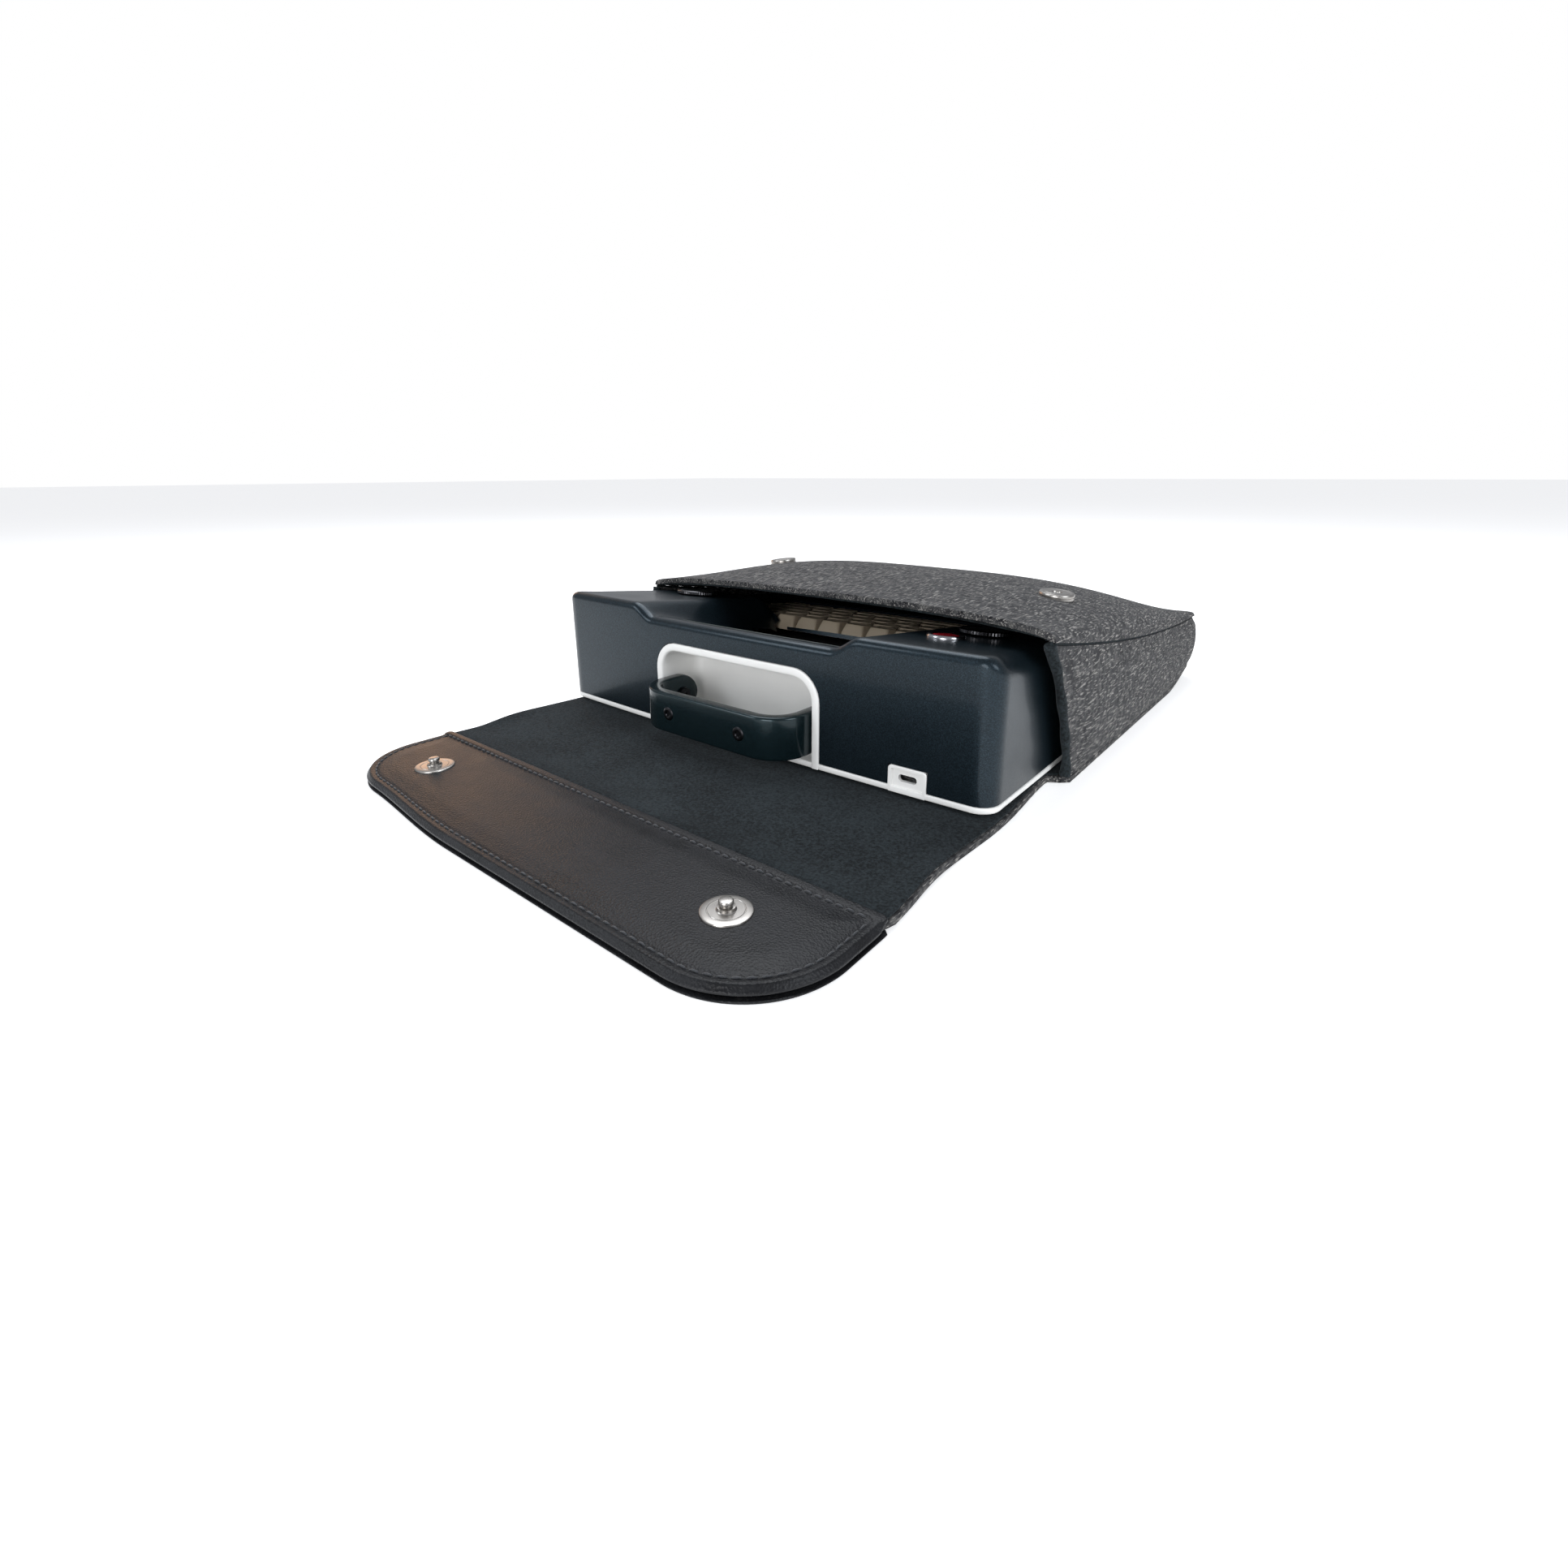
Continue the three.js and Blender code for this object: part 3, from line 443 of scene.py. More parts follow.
def plateGrid(area, inset, step, fanSteps=8, bandSteps=14):
    # plan points of a rounded plate, its faces, and the points of its outline: a square grid in the middle, and
    # round it rings, each a share of the way to the outline along lines that fan out at the corners
    x0, x1, y0, y1 = area[:4]
    xs = np.linspace(x0 + inset, x1 - inset, max(2, int((x1 - x0) / step)))
    ys = np.linspace(y0 + inset, y1 - inset, max(2, int((y1 - y0) / step)))
    middle = np.stack(np.meshgrid(xs, ys, indexing="ij"), -1).reshape(-1, 2)
    sides = [
        (np.stack([xs, np.full(len(xs), ys[0])], -1), -90),
        (np.stack([np.full(len(ys), xs[-1]), ys], -1), 0),
        (np.stack([xs[::-1], np.full(len(xs), ys[-1])], -1), 90),
        (np.stack([np.full(len(ys), xs[0]), ys[::-1]], -1), 180),
    ]
    starts, angles = [], []
    for line, angle in sides:
        fan = np.linspace(angle, angle + 90, fanSteps + 2)[1:-1]
        starts += [line, np.repeat(line[-1:], fanSteps, 0)]
        angles += [np.full(len(line), angle), fan]
    start, angle = np.concatenate(starts), np.radians(np.concatenate(angles))
    ahead = np.stack([np.cos(angle), np.sin(angle)], -1)
    reach = np.zeros(len(start))
    for _ in range(80):
        reach += boxDistance(*(start + ahead * reach[:, None]).T, area)
    share = 1 - (1 - np.linspace(0, 1, bandSteps + 1)) ** 1.8
    rings = start[None] + (ahead * reach[:, None])[None] * share[:, None, None]
    faces = np.concatenate([
        gridFaces(len(xs), len(ys)),
        len(middle) + gridFaces(bandSteps + 1, len(start), wrapColumns=True),
    ])
    return np.concatenate([middle, rings.reshape(-1, 2)]), faces, rings[-1]


def plateSolid(name, area, inset, step, top, bottom, slot, wallSteps=2, warp=None, **more):
    # a closed plate: its top and bottom heights are functions of x, y and the distance in from the outline
    plan, faces, outline = plateGrid(area, inset, step, **more)
    away = np.maximum(0, boxDistance(plan[:, 0], plan[:, 1], area))
    upper = np.column_stack([plan, top(plan[:, 0], plan[:, 1], away)])
    lower = np.column_stack([plan, bottom(plan[:, 0], plan[:, 1], away)])
    zero = np.zeros(len(outline))
    high, low = top(outline[:, 0], outline[:, 1], zero), bottom(outline[:, 0], outline[:, 1], zero)
    share = np.linspace(0, 1, wallSteps + 1)[:, None]
    ring = np.tile(outline, (wallSteps + 1, 1))
    wall = np.column_stack([ring, mix(high[None], low[None], share).ravel()])
    points = np.concatenate([upper, lower, wall])
    if warp:
        points = warp(points)
    allFaces = np.concatenate([
        faces,
        faces[:, ::-1] + len(upper),
        gridFaces(wallSteps + 1, len(outline), wrapColumns=True) + 2 * len(upper),
    ])
    return makePiece(name, points, allFaces, slot)


def cutWith(piece, *tools):
    for tool in tools:
        addModifier(piece, "BOOLEAN", operation="DIFFERENCE", solver="MANIFOLD", object=tool)
    bakeModifiers(piece, 32)
    for tool in tools:
        bpy.data.objects.remove(tool)


def sweptBlock(name, x0, x1, y0, y1, z0, z1, radius=2.0):
    # a cutter: a rounded rectangle of the XY plane between two heights
    area = (x0, x1, y0, y1, radius, radius)
    return plateSolid(name, area, radius + 0.5, 20, lambda x, y, d: x * 0 + z1, lambda x, y, d: x * 0 + z0,
                      "case_metal", bandSteps=1)


# ---- typewriter, in its own frame: x from its middle, y from its handle face, z from its underside

baseLow, baseHigh = nodeBox("base_tray")
typewriter = {"half": 145, "depth": 230, "height": 68.5, "slope": 0.11, "bow": 3.4, "shoulderEnd": 108,
              "keyboardStart": 124, "rim": 45, "screenSlope": 0.3, "dip": 7, "dipHalf": 62, "dipRise": 16,
              "frontFillet": 4.5, "sideFillet": 10, "corner": 9, "shell": 2.5, "band": 3}
baseMiddle = (baseLow[0] + baseHigh[0]) / 2
deviceOrigin = np.array([baseMiddle, baseHigh[1] - typewriter["depth"] - 0.2, baseLow[2]])


def bowed(points):
    # the handle face swells forward in the middle, and the rest of the plan stretches to meet it; then the
    # points are moved to where the typewriter lies
    t = typewriter
    swell = -t["bow"] * (1 - (points[:, 0] / t["half"]) ** 2)
    out = points.copy()
    out[:, 1] = swell + points[:, 1] * (1 - swell / t["depth"])
    return out + deviceOrigin


def casingTop(x, y, away):
    # shoulders that fall gently backwards, a lower middle between them, a step down to the keyboard deck,
    # and rounded edges whose radius grows from the handle face to the sides
    t = typewriter
    plateau = t["height"] - t["slope"] * y
    deck = t["rim"] - t["slope"] * (y - t["keyboardStart"])
    shoulder = mix(plateau, deck, smooth(y, t["shoulderEnd"], t["keyboardStart"]))
    ridge = t["height"] - t["dip"] - t["slope"] * y
    fall = t["height"] - t["dip"] - t["screenSlope"] * (y - 6)
    blend = smooth(y, 2, 12)
    middle = mix(mix(ridge, fall, blend), deck, smooth(y, t["keyboardStart"] - 8, t["keyboardStart"]))
    flat = mix(middle, shoulder, smooth(np.abs(x), t["dipHalf"], t["dipHalf"] + t["dipRise"]))
    toSide = t["half"] - np.abs(x)
    toEnd = np.minimum(y, t["depth"] - y)
    fillet = mix(t["frontFillet"], t["sideFillet"], smooth(toEnd - toSide, -7, 9))
    return flat - roundDrop(away, fillet)


usb = {"x": 105.6, "half": 9.6, "top": 13, "slotZ": 7.4, "slotHalf": 4.6, "slotHigh": 1.7}
button = {"x": 98, "y": 43}
knob = {"x": 104, "y": 76}
arch = {"half": 57.5, "top": 49.2, "radius": 16, "border": 4.5, "depth": 24, "room": 0.3}


def archPoints(inset, depth, steps=10):
    # the arch's outline moved inwards: up one side, round the corner, across, round and down
    angle = np.linspace(0, np.pi / 2, steps)
    radius, across = arch["radius"] - inset, arch["half"] - arch["radius"]
    corner = arch["top"] - arch["radius"]
    rise = np.linspace(0.2, corner, 9)[:-1]
    over = np.linspace(-across, across, 21)[1:-1]
    x = np.concatenate([np.full(8, -across - radius), -across - radius * np.cos(angle), over,
                        across + radius * np.sin(angle), np.full(8, across + radius)])
    z = np.concatenate([rise, corner + radius * np.sin(angle), np.full(19, corner + radius),
                        corner + radius * np.cos(angle), rise[::-1]])
    return np.stack([x, np.full(len(x), float(depth)), z], -1)


def archCutter(room, back):
    front, rear = archPoints(-room, -12), archPoints(-room, back)
    low = np.array([0, 0, -4.0])
    rings = np.stack([np.concatenate([ring[:1] + low, ring, ring[-1:] + low]) for ring in (front, rear)])
    points = rings.reshape(-1, 3) + deviceOrigin
    count = rings.shape[1]
    faces = gridFaces(2, count, wrapColumns=True).tolist()
    faces += [list(range(count)), list(range(count, 2 * count))[::-1]]
    return makePiece("arch_cutter", points, faces, "case_metal")


def placed(box):
    # corners of a box of the typewriter's frame, moved to the part's frame
    x0, x1, y0, y1, z0, z1 = box
    ox, oy, oz = deviceOrigin
    return x0 + ox, x1 + ox, y0 + oy, y1 + oy, z0 + oz, z1 + oz


def caseArea(grow):
    # the case's plan, made larger all round by a distance
    half, corner = typewriter["half"] + grow, typewriter["corner"] + grow
    return -half, half, -grow, typewriter["depth"] + grow, corner, corner


def makeCasing():
    t = typewriter
    area = caseArea(0)
    casing = plateSolid("upper_casing", area, 15, 2.6, casingTop, lambda x, y, d: x * 0 + t["band"] + 0.3,
                        "case_metal", wallSteps=8, warp=bowed, fanSteps=9, bandSteps=18)
    room = t["shell"]
    hollow = plateSolid("hollow", caseArea(-room), 12, 9, lambda x, y, d: casingTop(x, y, d + room) - room,
                        lambda x, y, d: x * 0 - 2, "case_metal", warp=bowed, bandSteps=5)
    lowKeys, highKeys = nodeBox("key_row_1")[0] - deviceOrigin, nodeBox("key_row_4")[1] - deviceOrigin
    lowGlass, highGlass = nodeBox("screen_window")
    ringLow, ringHigh = nodeBox("power_ring")
    ringX, ringY = (ringLow + ringHigh)[:2] / 2
    lastRow = nodeBox("key_row_5_left")[1] - deviceOrigin
    usbHalf, ringHalf = usb["half"] + 0.25, 7.6
    well = (lowKeys[0] - 1.0, highKeys[0] + 1.0, lowKeys[1] - 1.2, lastRow[1] + 1.2, 12, 80)
    window = (lowGlass[0] - 0.4, highGlass[0] + 0.4, lowGlass[1] - 0.4, highGlass[1] + 0.4, 30, 90)
    usbRoom = (usb["x"] - usbHalf, usb["x"] + usbHalf, -10, 6, -1, usb["top"] + 0.25)
    ringRoom = (ringX - ringHalf, ringX + ringHalf, ringY - ringHalf, ringY + ringHalf, 50, 90)
    tools = [
        hollow,
        archCutter(arch["room"], arch["depth"] + 8),
        sweptBlock("well", *placed(well)),
        sweptBlock("window", *window),
        sweptBlock("usb_room", *placed(usbRoom), radius=0.5),
        sweptBlock("ring_room", *ringRoom, radius=7.5),
    ]
    cutWith(casing, *tools)
    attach(casing, "typewriter")
    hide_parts("top_case")


makeCasing()
print("casing made")


def makeBaseBand():
    t = typewriter
    band = plateSolid("base_band", caseArea(0.35), 11, 14, lambda x, y, d: t["band"] - roundDrop(d, 0.7),
                      lambda x, y, d: roundDrop(d, 0.9), "white_plastic", warp=bowed, fanSteps=9,
                      bandSteps=12)
    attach(band, "typewriter")
    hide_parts("base_tray")


def makeRecess():
    # rings of the arch outline, each at its own inset and depth: the rounded border, the wall and the back
    edge = arch["border"]
    rings = [(0.1, 2.0), (0.1, -0.15), (0.35, -0.5), (0.8, -0.62), (edge - 1.3, -0.62), (edge - 0.6, -0.45),
             (edge - 0.15, 0.05), (edge, 0.9), (edge + 0.1, 3), (edge + 0.4, 12), (edge + 0.7, 17)]
    curve = np.radians(np.linspace(12, 90, 7))
    rings += [(edge + 0.8 + 5.2 * (1 - np.cos(a)), arch["depth"] - 5.2 + 5.2 * np.sin(a)) for a in curve]
    loops = [archPoints(inset, depth) for inset, depth in rings]
    last = loops[-1]
    heart = np.array([0, arch["depth"], 0.2])
    loops += [mix(last, heart, share) for share in (0.5, 1.0)]
    points = np.stack(loops)
    swell = -typewriter["bow"] * (1 - (points[..., 0] / typewriter["half"]) ** 2)
    points[..., 1] += swell * (1 - smooth(points[..., 1], 0, arch["depth"]))
    faces = gridFaces(points.shape[0], points.shape[1])
    points = points + deviceOrigin
    recess = makePiece("handle_recess", points, faces, "white_plastic", closed=False, flat=50)
    addModifier(recess, "SOLIDIFY", thickness=1.2 * mm, offset=-1.0)
    bakeModifiers(recess, 50)
    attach(recess, "typewriter")


def makeUsbSurround():
    # a small plate standing in the handle face: a raised rim round a lower panel, with the slot cut through
    u = usb
    area = (u["x"] - u["half"], u["x"] + u["half"], 0, u["top"], 0.6, 1.8)

    def front(x, z, away):
        return 0.45 - roundDrop(away, 0.5) - 1.1 * smooth(away, 1.5, 2.0)

    def upright(points):
        face = -typewriter["bow"] * (1 - (points[:, 0] / typewriter["half"]) ** 2)
        return np.stack([points[:, 0], face - points[:, 2], points[:, 1]], -1) + deviceOrigin

    plate = plateSolid("usb_surround", area, 3.2, 1.0, front, lambda x, z, d: x * 0 - 2.6, "white_plastic",
                       warp=upright, bandSteps=18)
    slotArea = (u["x"] - u["slotHalf"], u["x"] + u["slotHalf"], u["slotZ"] - u["slotHigh"],
                u["slotZ"] + u["slotHigh"], 1.55, 1.55)
    slot = plateSolid("slot", slotArea, 1.65, 2, lambda x, z, d: x * 0 + 6, lambda x, z, d: x * 0 - 6,
                      "white_plastic", warp=upright, bandSteps=1)
    cutWith(plate, slot)
    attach(plate, "typewriter")


makeBaseBand()
makeRecess()
makeUsbSurround()
print("base made")

handle = {"half": 52.3, "height": 22, "thickness": 6.8, "reach": 30, "radius": 20, "pivotY": 5,
          "pivotZ": 17.5, "screwSpread": 25, "edge": 1.5}


def socketRipple(angle, profile):
    # turns the round edge of a screw's socket into a rough hexagon
    radius = profile[None, :, 0]
    return 0.12 * np.cos(6 * angle) * (radius > 1) * (radius < 1.4)


def makeHandle():
    # a rounded bar section carried along a U: out along one arm, round the corner, across and back; the arm
    # ends are round in side view, because the section's height there follows a half circle
    h = handle
    middle = h["radius"] - h["thickness"] / 2
    front = h["pivotY"] - h["reach"] + h["thickness"] / 2
    side = h["half"] - h["thickness"] / 2
    end = h["pivotY"] + h["height"] / 2
    tail = h["pivotY"] + h["height"] / 2 * np.sin(np.linspace(np.pi / 2, 0, 14))
    arm = np.concatenate([tail, np.linspace(h["pivotY"], front + middle, 10)[1:-1]])
    turn = np.linspace(0, np.pi / 2, 24)
    across = np.linspace(-side + middle, side - middle, 40)[1:-1]
    x = np.concatenate([np.full(len(arm), -side), -side + middle - middle * np.cos(turn), across])
    y = np.concatenate([arm, front + middle - middle * np.sin(turn), np.full(len(across), front)])
    outward = [np.full(len(arm), 180.0), 180 + np.degrees(turn), np.full(len(across), 270.0)]
    outward = np.concatenate(outward)
    mirrored = slice(len(arm) + len(turn) - 1, None, -1)
    x, y = np.concatenate([x, -x[mirrored]]), np.concatenate([y, y[mirrored]])
    outward = np.radians(np.concatenate([outward, 540 - outward[mirrored]]))
    high = np.sqrt(np.clip((h["height"] / 2) ** 2 - np.clip(y - h["pivotY"], 0, end) ** 2, 1e-4, None))
    corner = np.linspace(0, np.pi / 2, 6)
    thick, edge = h["thickness"] / 2, h["edge"]
    sectionOut, sectionUp = [], []
    for outSign, upSign, first in ((1, 1, 0), (-1, 1, 1), (-1, -1, 0), (1, -1, 1)):
        bend = corner if first == 0 else corner[::-1]
        sectionOut.append(outSign * (thick - edge + edge * np.cos(bend)))
        sectionUp.append(upSign * (1 - (edge - edge * np.sin(bend)) / (h["height"] / 2)))
    sectionOut, sectionUp = np.concatenate(sectionOut), np.concatenate(sectionUp)
    points = np.stack([
        x[:, None] + np.cos(outward)[:, None] * sectionOut,
        y[:, None] + np.sin(outward)[:, None] * sectionOut,
        h["pivotZ"] + high[:, None] * sectionUp,
    ], -1)
    rows, columns = points.shape[:2]
    faces = gridFaces(rows, columns, wrapColumns=True).tolist()
    faces += [list(range(columns)), list(range((rows - 1) * columns, rows * columns))[::-1]]
    bar = makePiece("handle_bar", points + deviceOrigin, faces, "handle_metal", flat=40)
    nose = h["pivotY"] - h["reach"]
    intoBar = [(1, 0, 0), (0, 0, 1), (0, 1, 0)]
    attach(bar, "handle")
    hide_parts("handle")
    for side, sign in (("left", -1), ("right", 1)):
        spot = deviceOrigin + [sign * h["screwSpread"], nose, h["pivotZ"]]
        head = [(0, -0.05), (1.3, -0.05), (1.55, -0.4), (2.3, -0.55), (3.2, -0.4), (3.6, -0.1), (3.6, 1),
                (0, 1)]
        screw = turned(f"grip_screw_{side}", head, "black_screws", spot, 48, intoBar, socketRipple)
        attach(screw, "handle")
        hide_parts(f"handle_screw_{side}")


makeHandle()
print("handle made")

# ---- button, knobs, keys

tilt = np.arctan(typewriter["slope"])
sloped = np.array([(1, 0, 0), (0, np.cos(tilt), -np.sin(tilt)), (0, np.sin(tilt), np.cos(tilt))])


def onShoulder(x, y):
    return deviceOrigin + [x, y, typewriter["height"] - typewriter["slope"] * y]


def makeControls():
    seat = onShoulder(button["x"], button["y"])
    ring = [(6.8, -1), (6.8, 0.35), (6.95, 0.9), (7.5, 1.4), (8.3, 1.55), (9.0, 1.35), (9.4, 0.8),
            (9.5, 0.1), (9.5, -0.4), (6.8, -1)]
    bezel = turned("button_bezel", ring, "chrome_trim", seat, 72, sloped)
    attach(bezel, "typewriter")
    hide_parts("power_ring")
    cap = [(0, 1.0), (3.5, 1.08), (5.2, 1.25), (6.0, 1.2), (6.4, 0.9), (6.5, 0.4), (6.5, -3), (0, -3)]
    red = turned("red_button", cap, "red_button", seat, 56, sloped)
    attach(red, "power_button")
    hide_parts("power_button")
    face = [(0, 2.5), (9.5, 2.5), (10.2, 2.7), (12.3, 2.75), (12.85, 2.5), (12.85, 0.55), (0, 0.55)]
    rim = [(12.7, 0.6), (12.7, 2.75), (13.0, 3.0), (13.4, 2.85), (13.9, 2.3), (13.9, 0.9), (13.2, 0.55),
           (12.7, 0.6)]
    for side, sign in (("left", -1), ("right", 1)):
        spot = onShoulder(sign * knob["x"], knob["y"])
        # the rims wear the darkened chrome: painted shade, as they sit under the felt
        dial = turned(f"dial_{side}", rim, "chrome_trim", spot, 216, sloped,
                      lambda a, p: 0.16 * np.cos(54 * a) * (p[None, :, 0] > 13.6), "shaded_chrome")
        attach(dial, f"selector_knob_{side}")
        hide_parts(f"selector_knob_{side}")
        disc = turned(f"dial_face_{side}", face, "dark_plastic", spot, 72, sloped)
        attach(disc, f"selector_knob_{side}")


makeControls()

keys = {"pitch": 19.05, "units": 14, "firstRow": 130, "top": 43, "height": 10}
keyRows = {
    "key_row_1": (0, [1] * 12 + [2]),
    "key_row_2": (1, [1.5] + [1] * 11 + [1.5]),
    "key_row_3": (2, [1.75] + [1] * 10 + [2.25]),
    "key_row_4": (3, [2.25] + [1] * 9 + [2.75]),
    "key_row_5_left": (4, [1.25] * 3),
    "space_bar": (4, [6.25]),
    "key_row_5_right": (4, [1] * 4),
}


def keyCap(x0, x1, y):
    # a tapering cap with rounded edges: a grid of rings from the foot up the flared sides, round the top edge
    # and into a shallow dish; each ring is a rounded rectangle
    k = keys
    levels = [(0.0, -k["height"], 1.2), (0.05, -k["height"] + 0.4, 1.3), (0.28, -6, 1.8), (0.62, -2.6, 2.4),
              (0.9, -0.55, 2.8), (1.0, -0.12, 2.9), (1.12, 0.0, 2.9), (1.5, -0.2, 2.6), (2.4, -0.6, 2.0)]
    halfX, halfY = (x1 - x0) / 2 - 0.4, k["pitch"] / 2 - 0.4
    angle = np.radians(np.arange(0, 360, 11.25))
    rings = []
    for share, z, radius in levels:
        wide, deep = halfX - 2.35 * share, halfY - 2.45 * share
        cx = np.where(np.abs(np.cos(angle)) < 1e-6, 0, np.sign(np.cos(angle)) * (wide - radius))
        cy = np.where(np.abs(np.sin(angle)) < 1e-6, 0, np.sign(np.sin(angle)) * (deep - radius))
        ringX = (x0 + x1) / 2 + cx + radius * np.cos(angle)
        ringY = y + 0.55 * min(share, 1) + cy + radius * np.sin(angle)
        rings.append(np.stack([ringX, ringY, np.full(len(angle), z)], -1))
    heart = rings[-1].mean(0) - [0, 0, 0.25]
    rings.append(np.tile(heart, (len(angle), 1)))
    points = np.stack(rings)
    faces = gridFaces(len(rings), len(angle), wrapColumns=True)
    return points.reshape(-1, 3), faces


def makeKeys():
    k = keys
    origin = deviceOrigin + [0, k["firstRow"], k["top"]]
    leftEdge = -k["units"] * k["pitch"] / 2
    starts = {"space_bar": 3.75, "key_row_5_right": 10}
    for name, (row, widths) in keyRows.items():
        edges = leftEdge + k["pitch"] * (starts.get(name, 0) + np.cumsum([0] + widths))
        allPoints, allFaces, count = [], [], 0
        for x0, x1 in zip(edges[:-1], edges[1:]):
            points, faces = keyCap(x0, x1, row * k["pitch"])
            allPoints.append(points)
            allFaces.append(faces + count)
            count += len(points)
        local = np.concatenate(allPoints) @ sloped
        faces = np.concatenate(allFaces)
        caps = makePiece("caps_of_" + name, local + origin, faces, "key_plastic", flat=60)
        addModifier(caps, "SUBSURF", levels=1, render_levels=1)
        bakeModifiers(caps, 60)
        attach(caps, name)
        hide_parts(name)


makeKeys()
print("keys made")

# ---- sleeve; depths are counted from the typewriter's handle face

sleeveHigh = nodeBox("bottom_felt")[1]
sleeve = {"half": sleeveHigh[0], "back": 330, "corner": 20, "lip": 56, "skew": 21, "seamBack": 45,
          "seamRise": 31, "seamSpan": 298, "seamPower": 1.8, "crownLip": 10.5, "crownTilt": 0.05, "crown": 24,
          "mouthFoot": 70, "flapShift": 4.4}
depthOrigin = sleeveHigh[1] - sleeve["back"]


def seamHeight(depth):
    s = sleeve
    share = np.clip((s["back"] - depth) / s["seamSpan"], 0, 2)
    return s["seamBack"] + s["seamRise"] * share ** s["seamPower"]


def footLift(depth):
    # the empty closed end rises off the table
    return 13 * smooth(depth, 262, 338)


def lipDepth(x):
    return sleeve["lip"] - sleeve["skew"] * x / sleeve["half"]


def rumple(x, depth, size=1.0):
    # a few slow waves that never quite repeat, as thick felt lies
    wave = np.sin(x / 31 + depth / 57 + 0.8) + 0.8 * np.sin(x / 47 - depth / 29 + 2.1)
    return 0.45 * size * (wave + 0.5 * np.sin(depth / 17 + x / 90))


def topSurface(turnShare, alongShare, below=0.0, shrink=0.0, lipBack=0.0):
    # the upper panel: across it a flattened arch, along it the seam's fall plus a swell in the middle; the
    # first parameter is an angle across, the second runs from the lip to the closed end
    s = sleeve
    angle = turnShare * np.pi / 2
    side = np.sign(angle) * np.abs(np.sin(angle)) ** (2 / 2.4)
    x = side * (s["half"] - 1.5 - shrink)
    past = np.clip(np.abs(x) - (s["half"] - s["corner"]), 0, s["corner"])
    back = s["back"] - 1.4 - shrink - (s["corner"] - np.sqrt(s["corner"] ** 2 - past ** 2))
    depth = mix(lipDepth(x) + lipBack, back, alongShare)
    along = np.clip((depth - lipDepth(x)) / (s["back"] - lipDepth(x)), 0, 1)
    crown = s["crownLip"] * (1 - along) * (1 + s["crownTilt"] * side) + s["crown"] * np.sin(np.pi * along)
    arched = np.abs(np.cos(angle)) ** 0.9
    z = seamHeight(depth) + crown * arched - 1.5 + 2.1 * (1 - arched) - below * np.clip(arched * 1.6, 0, 1)
    x = x - side * 1.3 * (1 - smooth(arched, 0.0, 0.3))
    z = z + rumple(x, depth) * arched * np.clip(along * 6, 0, 1)
    return np.stack([x, depth + depthOrigin, z], -1)


def wallSurface(goingRound, rise, inward=0.0, foot=3.4, head=0.9):
    # the side walls and the closed end as one strip: back along one side, round the corner, across and out
    s = sleeve
    radius = s["corner"] - 1.5 - inward
    half = s["half"] - 1.5 - inward
    straight, turn, across = 255.0, 35.0, 2 * (s["half"] - s["corner"])
    total = 2 * straight + 2 * turn + across
    sign = np.where(goingRound < 0.5, -1.0, 1.0)
    run = np.minimum(goingRound, 1 - goingRound) * total
    lean = s["mouthFoot"] + (lipDepth(sign * s["half"]) - s["mouthFoot"]) * rise ** 1.5 + inward * 0.6
    arc = np.clip((run - straight) / turn, 0, 1) * np.pi / 2
    depth = mix(lean, s["back"] - s["corner"], np.clip(run / straight, 0, 1)) + radius * np.sin(arc)
    x = sign * (half - radius + radius * np.cos(arc))
    x = np.where(run > straight + turn, sign * (total / 2 - run), x)
    ends = smooth(run, 0, 30)
    belly = 2.4 * np.sin(np.pi * rise ** 0.8) * ends
    belly = belly - 1.5 * smooth(rise, 0.82, 1.0) - 0.5 * (1 - smooth(rise, 0, 0.1))
    belly = belly + rumple(run * 1.3, rise * 90, 0.5) * np.sin(np.pi * rise) * ends
    nx, ny = sign * np.cos(arc), np.sin(arc)
    x, depth = x + nx * belly, depth + ny * belly
    z = mix(foot + footLift(depth), seamHeight(depth) - head, rise)
    return np.stack([x, depth + depthOrigin, z], -1)


def sheetPiece(name, points, slot, thickness, rounding=0.0):
    rows, columns = points.shape[:2]
    piece = makePiece(name, points, gridFaces(rows, columns), slot, closed=False, flat=60)
    addModifier(piece, "SOLIDIFY", thickness=thickness * mm, offset=0.0)
    if rounding:
        addModifier(piece, "BEVEL", width=rounding * mm, segments=2, limit_method="ANGLE",
                    angle_limit=np.radians(60))
    bakeModifiers(piece, 70)
    return piece


def edged(count, power=1.7):
    # shares from 0 to 1, closer together towards both ends
    share = np.linspace(-1, 1, count)
    return 0.5 + 0.5 * np.sign(share) * (1 - (1 - np.abs(share)) ** power)


def makeUpperPanel():
    turn, along = np.meshgrid(np.linspace(-1, 1, 91), edged(90, 1.3), indexing="ij")
    panel = sheetPiece("upper_felt", topSurface(turn, along), "grey_felt", 3.0, 0.6)
    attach(panel, "sleeve_top")
    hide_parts("top_felt")
    points = topSurface(turn * 0.97, along, below=2.3, shrink=3.0, lipBack=1.2)
    inside = sheetPiece("upper_lining", points, "black_lining", 0.9)
    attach(inside, "sleeve_top")
    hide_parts("top_lining")


def makeWalls():
    around, rise = np.meshgrid(edged(260, 1.0), edged(26, 1.4), indexing="ij")
    wall = sheetPiece("wall_felt", wallSurface(around, rise), "grey_felt", 3.0, 1.1)
    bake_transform(wall)
    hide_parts("gusset_felt_left", "gusset_felt_right", "back_felt")
    inner = sheetPiece("wall_lining", wallSurface(around, rise, 2.2, 4.6, 4.6), "black_lining", 0.9)
    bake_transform(inner)
    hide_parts("gusset_lining_left", "gusset_lining_right", "back_lining")


